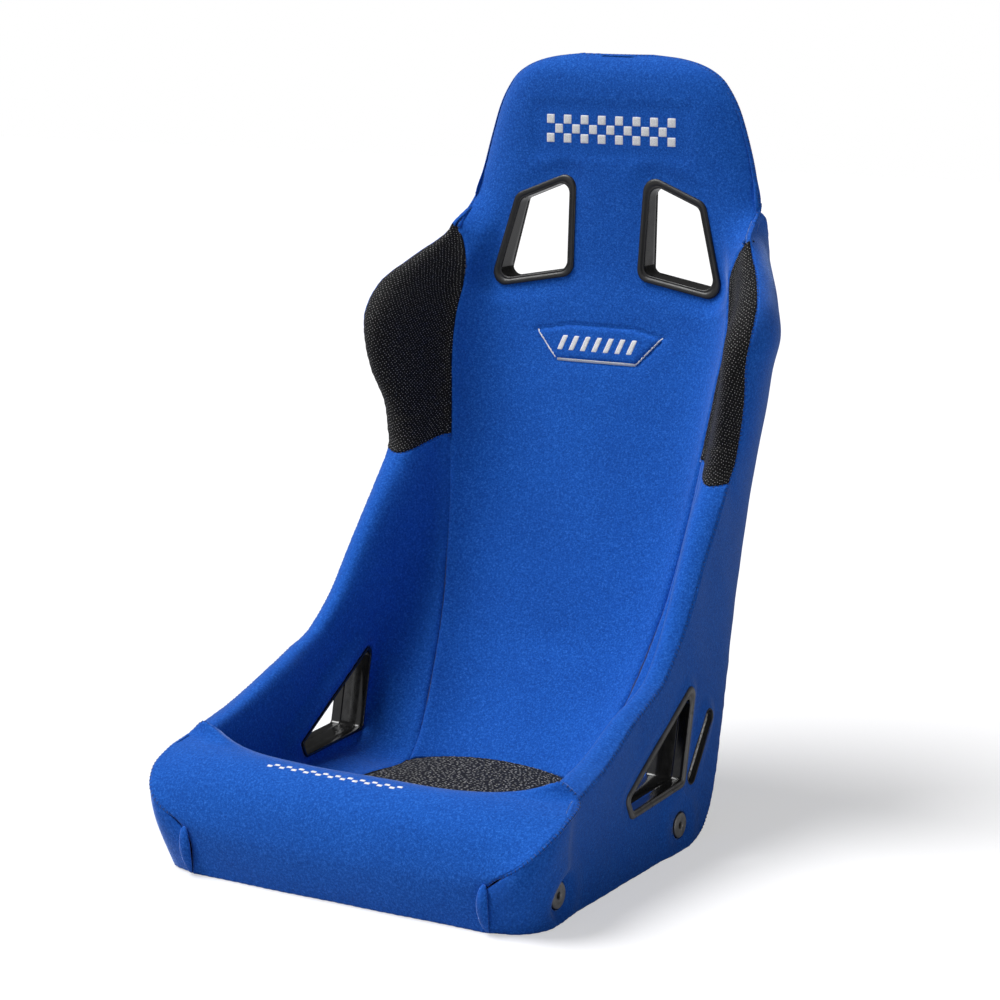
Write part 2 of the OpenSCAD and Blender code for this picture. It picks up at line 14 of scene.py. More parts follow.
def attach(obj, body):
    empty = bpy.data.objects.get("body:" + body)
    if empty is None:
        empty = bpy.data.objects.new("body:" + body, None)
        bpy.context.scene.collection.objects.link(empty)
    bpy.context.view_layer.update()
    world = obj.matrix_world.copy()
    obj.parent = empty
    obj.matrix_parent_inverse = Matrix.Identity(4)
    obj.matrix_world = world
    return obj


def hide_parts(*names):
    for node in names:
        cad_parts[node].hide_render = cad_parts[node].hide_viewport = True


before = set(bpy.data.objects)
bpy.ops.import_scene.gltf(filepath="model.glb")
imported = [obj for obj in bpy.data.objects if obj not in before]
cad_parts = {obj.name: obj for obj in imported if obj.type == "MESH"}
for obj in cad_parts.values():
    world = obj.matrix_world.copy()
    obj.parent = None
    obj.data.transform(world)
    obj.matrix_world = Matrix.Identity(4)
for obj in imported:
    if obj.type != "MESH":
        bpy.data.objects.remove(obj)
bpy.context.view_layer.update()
MM = 0.001

# ---------------------------------------------------------------- camera

CAMERA_AT = (1.6871, -2.8236, 1.0528)
CAMERA_TURN = math.radians(30.605)
CAMERA_DROP = math.radians(11.221)
SENSOR_MM = 36
LENS_MM = 102.1


def add_camera():
    """A camera that looks down by CAMERA_DROP from a heading turned CAMERA_TURN about the vertical."""
    sa, ca, se, ce = math.sin(CAMERA_TURN), math.cos(CAMERA_TURN), math.sin(CAMERA_DROP), math.cos(CAMERA_DROP)
    right, up, back = (ca, sa, 0), (-se * sa, se * ca, ce), (sa * ce, -ca * ce, se)
    data = bpy.data.cameras.new("camera")
    data.sensor_width, data.lens = SENSOR_MM, LENS_MM
    camera = bpy.data.objects.new("camera", data)
    camera.matrix_world = Matrix.Translation(CAMERA_AT) @ Matrix((right, up, back)).transposed().to_4x4()
    bpy.context.scene.collection.objects.link(camera)
    bpy.context.scene.camera = camera


add_camera()

# ---------------------------------------------------------------- the seat's outlines, the same as in the CAD part

# Each row is one section through a bolster's wall, front to top: its crest, its crease, its lower or rear outer edge.
WALL = np.array([
    [[262, -247, 138], [160, -219, 66], [247, -234, 0]], [[258, -173, 157], [145, -142, 61], [247, -154, 0]],
    [[251, -98, 186], [130, -50, 60], [247, -74, 0]], [[250, -60, 200], [119, 11, 62], [247, -20, 0]],
    [[248, -20, 215], [125, 48, 97], [246, 55, 0]], [[246, 24, 252], [140, 104, 170], [243, 96, 10]],
    [[245, 57, 292], [150, 138, 228], [239, 128, 45]], [[243, 88, 333], [158, 159, 277], [233, 158, 105]],
    [[242, 121, 373], [166, 182, 345], [226, 188, 175]], [[241, 155, 418], [177, 203, 433], [218, 226, 270]],
    [[246, 163, 443], [180, 209, 458], [212, 255, 340]], [[252, 163, 479], [184, 216, 492], [209, 281, 410]],
    [[262, 150, 519], [188, 223, 528], [208, 303, 475]], [[267, 142, 561], [191, 233, 563], [207, 319, 530]],
    [[269, 150, 594], [191, 242, 592], [206, 330, 578]], [[263, 177, 626], [188, 251, 620], [205, 336, 618]],
    [[242, 220, 655], [187, 256, 650], [203, 338, 655]], [[218, 255, 680], [195, 262, 677], [200, 338, 690]],
    [[210, 266, 697], [204, 264, 691], [202, 330, 712]]], float)
CREST, CREASE, REAR = WALL[:, 0], WALL[:, 1], WALL[:, 2]
# Sections are counted from 0: the last one, and those where the insert, the back and the rear cover start.
LAST = len(WALL) - 1
INSERT_FROM = 9
BACK_FROM = 3
REAR_FROM = 4
# The head's flat top, where front and rear meet.
TOP_Y = 318
TOP_Z = 911.5
# (y, z) up the middle of the front and of the rear, and (x, y, z) up the head's side from the last section.
SPINE = np.array([[45, 60], [78, 100], [113, 150], [150, 216], [184, 293], [213, 370], [237, 445], [264, 538],
                  [279, 600], [288, 650], [292, 700], [296, 770], [296, 850], [299, 885], [307, 902],
                  [TOP_Y, TOP_Z]], float)
REAR_SPINE = np.array([[56, 0], [100, 10], [133, 45], [174, 105], [207, 175], [243, 270], [268, 340], [289, 410],
                       [307, 475], [322, 530], [333, 578], [339, 618], [341, 655], [341, 690], [341, 820], [337, 865],
                       [330, 895], [TOP_Y, TOP_Z]], float)
HEAD_EDGE = np.array([[203, 308, 728], [194, 316, 765], [184, 318, 803], [171, 318, 843], [158, 318, 868],
                      [143, 318, 886], [120, 318, 899], [90, 318, 907], [50, TOP_Y, TOP_Z]], float)
# The front roll from the cushion over its top to the floor: (y, z) in the middle and (x, y, z) at its end.
ROLL = np.array([[-223, 63], [-236, 103], [-262, 128], [-288, 135], [-314, 124], [-333, 98], [-341, 60], [-338, 25],
                 [-331, 0]], float)
ROLL_END = np.array([[160, -223, 66], [205, -233, 128], [235, -248, 155], [262, -247, 138], [268, -280, 127],
                     [264, -314, 112], [243, -339, 88], [198, -340, 53], [197, -331, 0]], float)
# Round the front corner from the roll's end to the first section: upper and lower edge of the side cover.
CORNER = np.array([[[198, -340, 53], [197, -331, 0]], [[243, -339, 88], [230, -319, 0]],
                   [[264, -314, 112], [245, -297, 0]], [[268, -280, 127], [249, -266, 0]]], float)
# The shoulder's tip above the last section, where the side cover narrows to nothing between front and rear.
TIP = np.array([[[205, 289, 712], [202.5, 321, 721]], [[203, 307, 725], [203, 309, 727]]], float)
# Corners of the two belt openings, (x, z) and (y, z), and the corner radius of each.
HARNESS = np.array([[48, 768], [134, 734], [168, 613], [45, 635]], float)
LAP = np.array([[-111.6, 100], [-97, 71], [36, 77], [66, 206]], float)
HARNESS_R = 12
LAP_R = 6
# The moulded bezels: a flange's width and thickness, a sleeve's wall, and how much wider a rear opening is.
FLANGE_W = 9.5
FLANGE_T = 2.5
SLEEVE_T = 2.5
REAR_GROW = 10
# x of the flat outer side, and of the inner lap bezel's face.
SIDE_X = 247
INNER_X = 200
# (y, z) of the side bolts, and the belt slot's middle, slant, length and width.
BOLTS = [(-263, 32), (27, 32)]
BOLT_HOLE_R = 16.8
SLOT_MID = np.array([84, 113])
SLOT_TILT = math.radians(54)
SLOT_L = 92
SLOT_W = 17
CUSHION_CROWN = 8
# x from and to for a cut through one side, and y from and to for cuts through the front and the rear.
THROUGH_SIDE = (150, 320)
THROUGH_FRONT = (200, 330)
THROUGH_REAR = (300, 400)


# ---------------------------------------------------------------- small sums


def lerp(a, b, t):
    """The value a share t of the way from a to b."""
    return a + (b - a) * t


def unit(v):
    """Vectors divided by their lengths."""
    return v / np.maximum(np.linalg.norm(v, axis=-1, keepdims=True), 1e-9)


def smooth(rows, s):
    """Points on a cubic curve through rows at the positions s, where whole numbers are the rows themselves."""
    rows, s = np.asarray(rows, float), np.asarray(s, float)
    i = np.clip(np.floor(s).astype(int), 0, len(rows) - 2)
    t = (s - i).reshape(s.shape + (1,) * (rows.ndim - 1))
    slope = np.gradient(rows, axis=0)
    return ((2 * t**3 - 3 * t**2 + 1) * rows[i] + (t**3 - 2 * t**2 + t) * slope[i]
            + (3 * t**2 - 2 * t**3) * rows[i + 1] + (t**3 - t**2) * slope[i + 1])


def y_at(line, z):
    """y of a smooth (y, z) outline at the heights z."""
    p = smooth(line, np.linspace(0, len(line) - 1, 600))
    return np.interp(z, p[:, 1], p[:, 0])


def bezier(p, t):
    """Cubic curve with control points p[..., 0:4, :] at t."""
    t = t[..., None]
    return ((1 - t)**3 * p[..., 0, :] + 3 * (1 - t)**2 * t * p[..., 1, :] + 3 * (1 - t) * t**2 * p[..., 2, :]
            + t**3 * p[..., 3, :])


def marks(a, b, n, edge=0.0, far_edge=None):
    """n even steps from a to b, with finer steps within edge of a and far_edge of b."""
    far_edge = edge if far_edge is None else far_edge
    fine = np.array([0, 0.08, 0.25, 0.5, 0.75])
    start = a + edge * fine if edge else np.array([a])
    end = b - far_edge * fine[::-1] if far_edge else np.array([b])
    inner = np.linspace(a + edge, b - far_edge, n)
    return np.unique(np.round(np.concatenate([start, inner, end]), 7))


def ripple(P, size):
    """Slow unevenness of stuffed cloth, as a sum of sine waves in space with wavelengths near size."""
    f = 2 * math.pi / size
    x, y, z = P[..., 0], P[..., 1], P[..., 2]
    return (np.sin(f * (x + 0.6 * y) + 1.3) + np.sin(f * 0.73 * (z - 0.4 * x) + 0.4)
            + np.sin(f * 1.31 * (y + 0.3 * z - 0.2 * x) + 2.1) + np.sin(f * 1.9 * (z + y) + 0.9) * 0.5) / 3.5


# ---------------------------------------------------------------- materials


class Finish:
    """A node material round one Principled shader: each method adds a node and returns its output."""

    def __init__(self, name):
        self.material = bpy.data.materials.new(name)
        self.material.use_nodes = True
        self.tree = self.material.node_tree
        self.shader = self.tree.nodes["Principled BSDF"]
        self.place = self.node("ShaderNodeTexCoord")

    def node(self, kind, inputs=None, **settings):
        """A new node with its settings, then its inputs."""
        n = self.tree.nodes.new(kind)
        for key, value in settings.items():
            setattr(n, key, value)
        for key, value in (inputs or {}).items():
            self.put(n.inputs[key], value)
        return n

    def put(self, socket, value):
        """Joins another node's output to a socket, or sets a constant on it."""
        if isinstance(value, bpy.types.NodeSocket):
            self.tree.links.new(value, socket)
        else:
            socket.default_value = value

    def set(self, **values):
        """Sets the shader's inputs by name."""
        for key, value in values.items():
            self.put(self.shader.inputs[key.replace("_", " ")], value)

    def coords(self, kind="Object", scale=(1, 1, 1), turn=0.0):
        """Places in the seat's own frame, or on the cloth for kind "UV", stretched and turned."""
        return self.node("ShaderNodeMapping", {"Vector": self.place.outputs[kind], "Scale": scale,
                                               "Rotation": (0, 0, turn)}).outputs["Vector"]

    def noise(self, vector, scale, detail=2.0, roughness=0.5, distortion=0.0):
        return self.node("ShaderNodeTexNoise", {"Vector": vector, "Scale": scale, "Detail": detail,
                                                "Roughness": roughness, "Distortion": distortion}).outputs["Fac"]

    def cells(self, vector, scale, flat=False, jitter=1.0, feature="F1"):
        """Distance to the nearest of many scattered points, jitter from 0, a regular grid, to 1."""
        return self.node("ShaderNodeTexVoronoi", {"Vector": vector, "Scale": scale, "Randomness": jitter},
                         voronoi_dimensions="2D" if flat else "3D", feature=feature).outputs["Distance"]

    def ramp(self, fac, *stops):
        """Colours or greys between stops, each a position and a value."""
        n = self.node("ShaderNodeValToRGB", {"Fac": fac})
        while len(n.color_ramp.elements) < len(stops):
            n.color_ramp.elements.new(0.5)
        for e, (at, colour) in zip(n.color_ramp.elements, stops):
            e.position = at
            e.color = (*colour, 1) if isinstance(colour, tuple) else (colour, colour, colour, 1)
        return n.outputs["Color"]

    def sum(self, a, b, kind="ADD"):
        """Two numbers added, or joined by another operation."""
        return self.node("ShaderNodeMath", {0: a, 1: b}, operation=kind).outputs[0]

    def mix(self, fac, a, b, kind="MIX"):
        """Two colours mixed or multiplied by the share fac."""
        n = self.node("ShaderNodeMix", data_type="RGBA", blend_type=kind)
        self.put(n.inputs[0], fac)
        for socket, value in ((n.inputs[6], a), (n.inputs[7], b)):
            self.put(socket, (*value, 1) if isinstance(value, tuple) else value)
        return n.outputs[2]

    def bump(self, height, strength, distance):
        """Relief from height, distance metres deep."""
        n = self.node("ShaderNodeBump", {"Height": height, "Strength": strength, "Distance": distance})
        self.put(self.shader.inputs["Normal"], n.outputs["Normal"])


def blue_knit():
    """Brushed knit: short fibres in clumps of 1 to 2 mm, paler tips, and slow changes of shade."""
    f = Finish("blue_brushed_knit")
    at = f.coords()
    clumps = f.cells(at, 620, jitter=1.0, feature="SMOOTH_F1")
    fibres = f.noise(at, 1500, 3, 0.65, 0.6)
    mottle = f.noise(at, 400, 3, 0.6, 0.4)
    shade = f.noise(at, 14, 3, 0.55)
    body = f.ramp(f.sum(f.sum(mottle, 0.55, "MULTIPLY"), f.sum(fibres, 0.45, "MULTIPLY")),
                  (0.32, (0.0018, 0.046, 0.28)), (0.52, (0.0070, 0.100, 0.50)), (0.72, (0.045, 0.225, 0.78)))
    f.set(Base_Color=f.mix(0.35, body, f.ramp(shade, (0.3, (0.72, 0.74, 0.80)), (0.7, (1.0, 1.0, 1.0))), "MULTIPLY"))
    f.set(Roughness=0.92, Specular_IOR_Level=0.18, Sheen_Weight=0.85, Sheen_Roughness=0.34,
          Sheen_Tint=(0.42, 0.58, 1.0, 1))
    f.bump(f.sum(f.sum(clumps, -0.6, "MULTIPLY"), f.sum(f.sum(fibres, 0.35, "MULTIPLY"), mottle)), 0.55, 0.0007)
    return f.material


def grip_cloth():
    """Black non-slip cloth with raised pale rubber dots about 3 mm apart, set out on the cloth's own grid."""
    f = Finish("black_grip_cloth")
    uv = f.coords("UV", (1, 1.12, 1), 0.5)
    near = f.cells(uv, 270, flat=True, jitter=0.35)
    dots = f.ramp(near, (0.0, 1.0), (0.10, 0.9), (0.15, 0.0))
    worn = f.noise(f.coords("UV"), 260, 2, 0.7)
    weave = f.cells(f.coords("UV"), 1100, flat=True, jitter=0.3)
    ground = f.ramp(weave, (0.1, (0.0020, 0.0020, 0.0026)), (0.7, (0.006, 0.006, 0.007)))
    spot = f.ramp(worn, (0.35, (0.16, 0.16, 0.165)), (0.62, (0.62, 0.62, 0.61)))
    f.set(Base_Color=f.mix(dots, ground, spot), Roughness=f.ramp(dots, (0.0, 0.85), (1.0, 0.45)),
          Specular_IOR_Level=0.25, Sheen_Weight=0.03, Sheen_Roughness=0.5, Sheen_Tint=(0.7, 0.7, 0.8, 1))
    f.bump(f.sum(dots, f.sum(weave, -0.35, "MULTIPLY")), 0.6, 0.0006)
    return f.material


def cushion_cloth():
    """Black and grey weave: short pale floats in staggered rows between black yarns."""
    f = Finish("pepper_weave")
    uv = f.coords("UV", (0.62, 1, 1), 0.12)
    near = f.cells(uv, 260, flat=True, jitter=0.9)
    floats = f.ramp(near, (0.0, 1.0), (0.17, 0.9), (0.27, 0.0))
    tone = f.noise(f.coords("UV"), 330, 2, 0.8)
    yarn = f.noise(f.coords("UV", (1, 6, 1), 0.12), 260, 2, 0.6)
    ground = f.ramp(yarn, (0.3, (0.003, 0.003, 0.004)), (0.75, (0.012, 0.012, 0.014)))
    pale = f.ramp(tone, (0.38, (0.02, 0.02, 0.022)), (0.60, (0.50, 0.49, 0.46)))
    f.set(Base_Color=f.mix(floats, ground, pale), Roughness=0.88, Specular_IOR_Level=0.15, Sheen_Weight=0.05,
          Sheen_Roughness=0.5, Sheen_Tint=(0.75, 0.75, 0.8, 1))
    f.bump(f.sum(floats, f.sum(yarn, 0.6, "MULTIPLY")), 0.7, 0.0007)
    return f.material


def moulded_plastic(name, dark, pale, roughness, grain=0.35):
    """Moulded plastic with a fine spark-eroded grain, faint flow marks and handling shine."""
    f = Finish(name)
    at = f.coords()
    pits = f.noise(at, 1900, 2, 0.6)
    flow = f.noise(at, 45, 3, 0.6, 1.2)
    f.set(Base_Color=f.ramp(flow, (0.3, dark), (0.75, pale)),
          Roughness=f.ramp(f.noise(at, 90, 2, 0.5), (0.3, roughness - 0.06), (0.7, roughness + 0.08)),
          Specular_IOR_Level=0.5)
    f.bump(pits, grain, 0.00025)
    return f.material


def turned_steel():
    """Dull turned steel: fine rings round the bolt axis, grey phosphate bloom, a few darker specks."""
    f = Finish("turned_steel")
    at = f.coords()
    lines = f.noise(f.coords("Object", (30, 400, 400)), 4, 2, 0.6)
    bloom = f.noise(at, 160, 4, 0.65)
    f.set(Base_Color=f.ramp(bloom, (0.25, (0.20, 0.195, 0.19)), (0.7, (0.38, 0.375, 0.36))), Metallic=0.75,
          Roughness=f.ramp(lines, (0.3, 0.42), (0.7, 0.6)))
    f.bump(lines, 0.25, 0.0002)
    return f.material


def plain_metal(name, dark, pale, roughness, metallic, scale=120):
    """Coated or plated metal with slight orange peel and uneven gloss."""
    f = Finish(name)
    at = f.coords()
    peel = f.noise(at, 700, 2, 0.5)
    tone = f.noise(at, scale, 3, 0.6)
    f.set(Base_Color=f.ramp(tone, (0.3, dark), (0.7, pale)), Metallic=metallic,
          Roughness=f.ramp(tone, (0.3, roughness - 0.07), (0.7, roughness + 0.08)))
    f.bump(peel, 0.3, 0.0002)
    return f.material


def ribbed_web():
    """Woven webbing: ribs along the strap with a fine cross weave."""
    f = Finish("woven_webbing")
    ribs = f.noise(f.coords("Object", (40, 900, 900)), 1, 1, 0.5)
    cross = f.noise(f.coords("Object", (900, 60, 60)), 1, 1, 0.5)
    weave = f.sum(ribs, cross, "MULTIPLY")
    f.set(Base_Color=f.ramp(weave, (0.1, (0.010, 0.010, 0.011)), (0.4, (0.035, 0.035, 0.038))), Roughness=0.85,
          Sheen_Weight=0.1)
    f.bump(weave, 0.6, 0.0005)
    return f.material


def speckled_foam():
    """Bonded foam: pale grey crumb with dark and light chips and open pores."""
    f = Finish("bonded_foam")
    at = f.coords()
    chips = f.node("ShaderNodeTexVoronoi", {"Vector": at, "Scale": 420.0}).outputs["Color"]
    grey = f.ramp(chips, (0.2, (0.22, 0.22, 0.22)), (0.5, (0.62, 0.62, 0.60)), (0.8, (0.80, 0.79, 0.76)))
    pores = f.noise(at, 1300, 3, 0.7)
    f.set(Base_Color=f.mix(0.4, grey, f.ramp(pores, (0.35, 0.25), (0.6, 1.0)), "MULTIPLY"), Roughness=0.95)
    f.bump(pores, 0.8, 0.0008)
    return f.material


def felted_base():
    """Black needled cloth: short matted fibres in all directions, slightly dusty."""
    f = Finish("needled_base_cloth")
    at = f.coords()
    mat = f.noise(at, 900, 4, 0.7, 1.5)
    dust = f.noise(at, 30, 4, 0.6)
    f.set(Base_Color=f.mix(0.5, f.ramp(mat, (0.3, (0.006, 0.006, 0.007)), (0.7, (0.028, 0.028, 0.030))),
                           f.ramp(dust, (0.4, 0.7), (0.8, 1.0)), "MULTIPLY"),
          Roughness=0.95, Sheen_Weight=0.25, Sheen_Roughness=0.6)
    f.bump(mat, 0.7, 0.0007)
    return f.material


def thread(name, dark, pale):
    """Sewing thread: two plies twisted together, with a soft sheen."""
    f = Finish(name)
    at = f.coords()
    ply = f.noise(at, 900, 2, 0.6, 0.8)
    f.set(Base_Color=f.ramp(ply, (0.3, dark), (0.65, pale)), Roughness=0.6, Sheen_Weight=0.3, Sheen_Roughness=0.4)
    f.bump(ply, 0.6, 0.0004)
    return f.material


BLUE = blue_knit()
GRIP = grip_cloth()
PEPPER = cushion_cloth()
PLASTIC = moulded_plastic("bezel_plastic", (0.010, 0.010, 0.0105), (0.020, 0.020, 0.021), 0.40)
SATIN = moulded_plastic("bezel_plastic_satin", (0.075, 0.074, 0.074), (0.12, 0.118, 0.118), 0.32, 0.2)
GLOSS = moulded_plastic("bezel_plastic_gloss", (0.006, 0.006, 0.0065), (0.012, 0.012, 0.012), 0.16, 0.08)
STEEL = turned_steel()
PAINT = plain_metal("black_powder_coat", (0.012, 0.012, 0.013), (0.024, 0.024, 0.025), 0.42, 0.0)
ZINC = plain_metal("zinc_wire", (0.42, 0.42, 0.40), (0.62, 0.61, 0.57), 0.33, 0.95, 260)
WEBBING = ribbed_web()
FOAM = speckled_foam()
BASE = felted_base()
NAVY_THREAD = thread("navy_thread", (0.002, 0.010, 0.060), (0.006, 0.030, 0.16))
BLACK_THREAD = thread("black_thread", (0.004, 0.004, 0.005), (0.02, 0.02, 0.022))
WHITE_THREAD = thread("white_thread", (0.62, 0.63, 0.66), (0.92, 0.92, 0.93))

# ---------------------------------------------------------------- meshes


def piece(name, verts, faces, material, slot, replaces=(), uv=None):
    """A mesh object in the shared frame from points in millimetres, its normals turned outwards. uv is in millimetres
    of cloth, one row a point."""
    mesh = bpy.data.meshes.new(name)
    mesh.from_pydata((np.asarray(verts, float) * MM).tolist(), [], np.asarray(faces).tolist()
                     if isinstance(faces, np.ndarray) else faces)
    mesh.validate()
    if uv is not None:
        loops = np.empty(len(mesh.loops), int)
        mesh.loops.foreach_get("vertex_index", loops)
        mesh.uv_layers.new(name="cloth").data.foreach_set("uv", (uv[loops] * MM).ravel())
    b = bmesh.new()
    b.from_mesh(mesh)
    bmesh.ops.remove_doubles(b, verts=b.verts, dist=1e-6)
    bmesh.ops.recalc_face_normals(b, faces=b.faces)
    b.to_mesh(mesh)
    b.free()
    mesh.polygons.foreach_set("use_smooth", [True] * len(mesh.polygons))
    mesh.materials.append(material)
    o = bpy.data.objects.new(name, mesh)
    bpy.context.scene.collection.objects.link(o)
    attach(o, "root")
    if replaces:
        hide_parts(*replaces)
    return o


def quads(m, n, start=0, wrap_rows=False, wrap_columns=False):
    """Faces of a grid of m rows and n columns of points, closed round either way."""
    r = np.arange(m if wrap_rows else m - 1)[:, None]
    c = np.arange(n if wrap_columns else n - 1)[None, :]
    r2, c2 = (r + 1) % m, (c + 1) % n
    return start + np.stack([r * n + c, r * n + c2, r2 * n + c2, r2 * n + c], -1).reshape(-1, 4)


def facing(P, side):
    """Unit normals of a grid, from the slopes along its rows and columns."""
    return unit(np.cross(np.gradient(P, axis=0), np.gradient(P, axis=1))) * side


def run(P, axis):
    """Length along the grid's rows or columns from its start, and what is left to its end."""
    step = np.linalg.norm(np.diff(P, axis=axis), axis=-1)
    total = np.cumsum(step, axis=axis)
    first = np.zeros_like(np.take(total, [0], axis=axis))
    along = np.concatenate([first, total], axis=axis)
    return along, np.take(along, [-1], axis=axis) - along


def rolled(d, radius):
    """How far cloth has turned down at distance d from its seam: a quarter circle of that radius."""
    x = np.clip(radius - d, 0, radius)
    return radius - np.sqrt(np.maximum(radius**2 - x**2, 0))


def pucker(d, along, size, pitch):
    """Small waves that stitches pull into cloth, fading a short way from the seam."""
    return size * np.exp(-(d / 9.0)**2) * (np.sin(2 * math.pi * along / pitch) + 0.6
                                           * np.sin(2 * math.pi * along / (2.3 * pitch) + 1.0))


def shell(top, under):
    """Points and faces of a closed shell: two grids of the same shape, joined all round their edges."""
    m, n = top.shape[:2]
    edge = np.concatenate([np.arange(n), np.arange(1, m) * n + n - 1, (m - 1) * n + np.arange(n - 2, -1, -1),
                           np.arange(m - 2, 0, -1) * n])
    after = np.roll(edge, -1)
    faces = np.concatenate([quads(m, n), quads(m, n, m * n)[:, ::-1],
                            np.stack([edge, after, after + m * n, edge + m * n], -1)])
    return np.concatenate([top.reshape(-1, 3), under.reshape(-1, 3)]), faces


def panel(name, P, side, material, slot, replaces=(), thick=4.5, rolls=(3.5, 3.5, 3.5, 3.5), lift=None, cuts=(),
          puckers=0.25, waves=0.5, lean=None):
    """A sewn panel as a closed shell: the grid P with its four edges rolled down into their seams (start row, end
    row, first column, last column), lifted by lift along its normals, and closed by a second layer thick below. lean
    is a weight and a direction that the normals are turned towards where an edge runs to a point."""
    N = facing(P, side)
    if lean is not None:
        N = unit(lerp(N, lean[1], lean[0][..., None]))
    across = run(P, 1)
    down = run(P, 0)
    depth = waves * ripple(P, 140)
    for d, along, radius in ((down[0], across[0], rolls[0]), (down[1], across[0], rolls[1]),
                             (across[0], down[0], rolls[2]), (across[1], down[0], rolls[3])):
        if radius:
            depth = depth - rolled(d, radius) + pucker(d, along, puckers, 11.0)
    if lift is not None:
        depth = depth + lift
    top = P + N * depth[..., None]
    top[..., 2] = np.maximum(top[..., 2], 0.2)
    under = P - N * (thick - np.minimum(depth, 0) * 0.6)[..., None]
    n = P.shape[1]
    middle = slice(n // 2, n // 2 + 1)
    uv = np.stack([across[0] - across[0][:, middle], np.repeat(down[0][:, middle], n, 1)], -1).reshape(-1, 2)
    o = piece(name, *shell(top, under), material, slot, replaces, np.concatenate([uv, uv]))
    for line, axis, reach in cuts:
        cut(o, line, axis, reach)
    return o


def cut(o, line, axis, reach):
    """Takes a straight prism out of o: line is (y, z) for a prism along x, or (x, z) for one along y, and reach is
    where it starts and ends."""
    k = len(line)
    across, up = line.T
    ends = []
    for v in reach:
        c = np.full(k, float(v))
        ends.append(np.stack([c, across, up] if axis == "x" else [across, c, up], -1))
    i = np.arange(k)
    walls = np.stack([i, (i + 1) % k, (i + 1) % k + k, i + k], -1).tolist()
    mesh = bpy.data.meshes.new("cutter")
    mesh.from_pydata((np.concatenate(ends) * MM).tolist(), [], walls + [list(i[::-1]), list(i + k)])
    b = bmesh.new()
    b.from_mesh(mesh)
    bmesh.ops.recalc_face_normals(b, faces=b.faces)
    b.to_mesh(mesh)
    b.free()
    tool = bpy.data.objects.new("cutter", mesh)
    bpy.context.scene.collection.objects.link(tool)
    m = o.modifiers.new("cut", "BOOLEAN")
    m.operation, m.solver, m.object = "DIFFERENCE", "EXACT", tool
    bpy.context.view_layer.update()
    done = bpy.data.meshes.new_from_object(o.evaluated_get(bpy.context.evaluated_depsgraph_get()))
    o.modifiers.clear()
    o.data = done
    bpy.data.objects.remove(tool)


def mirrored(P):
    """The same points on the other side of the seat."""
    return P * np.array([-1, 1, 1])


def both(make):
    """Makes pieces on the left, at +x, and their mirror images on the right."""
    make("left", 1)
    make("right", -1)


def outline(points, radius, grow=0.0, steps=7, along=6):
    """A polygon moved outwards by grow, with round corners: the same number of points for any radius and grow."""
    p = np.asarray(points, float)
    if np.sum(p[:, 0] * np.roll(p[:, 1], -1) - np.roll(p[:, 0], -1) * p[:, 1]) < 0:
        p = p[::-1]
    n = len(p)
    e = unit(np.roll(p, -1, 0) - p)
    out = np.stack([e[:, 1], -e[:, 0]], -1)
    corners = []
    for i in range(n):
        a, b = out[i - 1], out[i]
        corners.append(p[i] + grow * (a + b) / (1 + a @ b))
    arcs = []
    for i in range(n):
        a, b = out[i - 1], out[i]
        centre = corners[i] - radius * (a + b) / (1 + a @ b)
        turn = math.acos(np.clip(a @ b, -1, 1))
        w = np.linspace(0, 1, steps)[:, None]
        arc = (np.sin((1 - w) * turn) * a + np.sin(w * turn) * b) / math.sin(turn)
        arcs.append(centre + radius * arc)
    line = []
    for i in range(n):
        line.append(arcs[i])
        start, end = arcs[i][-1], arcs[(i + 1) % n][0]
        w = np.linspace(0, 1, along + 2)[1:-1, None]
        line.append(start + (end - start) * w)
    return np.concatenate(line)


def distance_to(points, Q):
    """Distance from each (a, b) in Q to a closed outline, negative inside it."""
    a = np.asarray(points, float)
    b = np.roll(a, -1, 0)
    d = b - a
    q = Q[..., None, :] - a
    t = np.clip((q * d).sum(-1) / np.maximum((d * d).sum(-1), 1e-9), 0, 1)
    away = np.linalg.norm(q - t[..., None] * d, axis=-1).min(-1)
    x, y = Q[..., 0, None], Q[..., 1, None]
    crosses = ((a[:, 1] > y) != (b[:, 1] > y)) & (x < (b[:, 0] - a[:, 0]) * (y - a[:, 1])
                                                  / np.where(b[:, 1] == a[:, 1], 1e-9, b[:, 1] - a[:, 1]) + a[:, 0])
    return np.where(crosses.sum(-1) % 2 == 1, -away, away)


def frames_along(path):
    """Two unit normals at each point of a path, turned as little as possible from point to point."""
    t = unit(np.gradient(path, axis=0))
    x = np.empty_like(t)
    x[0] = unit(np.cross(t[0], [0.31, 0.2, 0.93]))
    for i in range(1, len(t)):
        x[i] = unit(x[i - 1] - t[i] * (x[i - 1] @ t[i]))
    return x, np.cross(t, x)


def capped(m, n):
    """Faces of a tube of m rings of n points, closed by a face at each end."""
    return quads(m, n, 0, False, True).tolist() + [list(range(n)), [(m - 1) * n + c for c in range(n)]]


def cordage(path, radius, sides):
    """A round cord: a circle of that radius carried along a path, as points and faces, with flat ends."""
    x, y = frames_along(path)
    a = np.linspace(0, 2 * math.pi, sides, endpoint=False)[None, :, None]
    P = path[:, None] + float(radius) * (np.cos(a) * x[:, None] + np.sin(a) * y[:, None])
    return P.reshape(-1, 3), capped(len(path), sides)


def gather(parts):
    """Joins lists of points and faces into one."""
    verts, faces, n = [], [], 0
    for v, f in parts:
        verts.append(v)
        faces += [[k + n for k in q] for q in f]
        n += len(v)
    return np.concatenate(verts), faces


# ---------------------------------------------------------------- the seat's surfaces

ROWS = np.arange(LAST + 1)
FLAT = 0 * ROWS

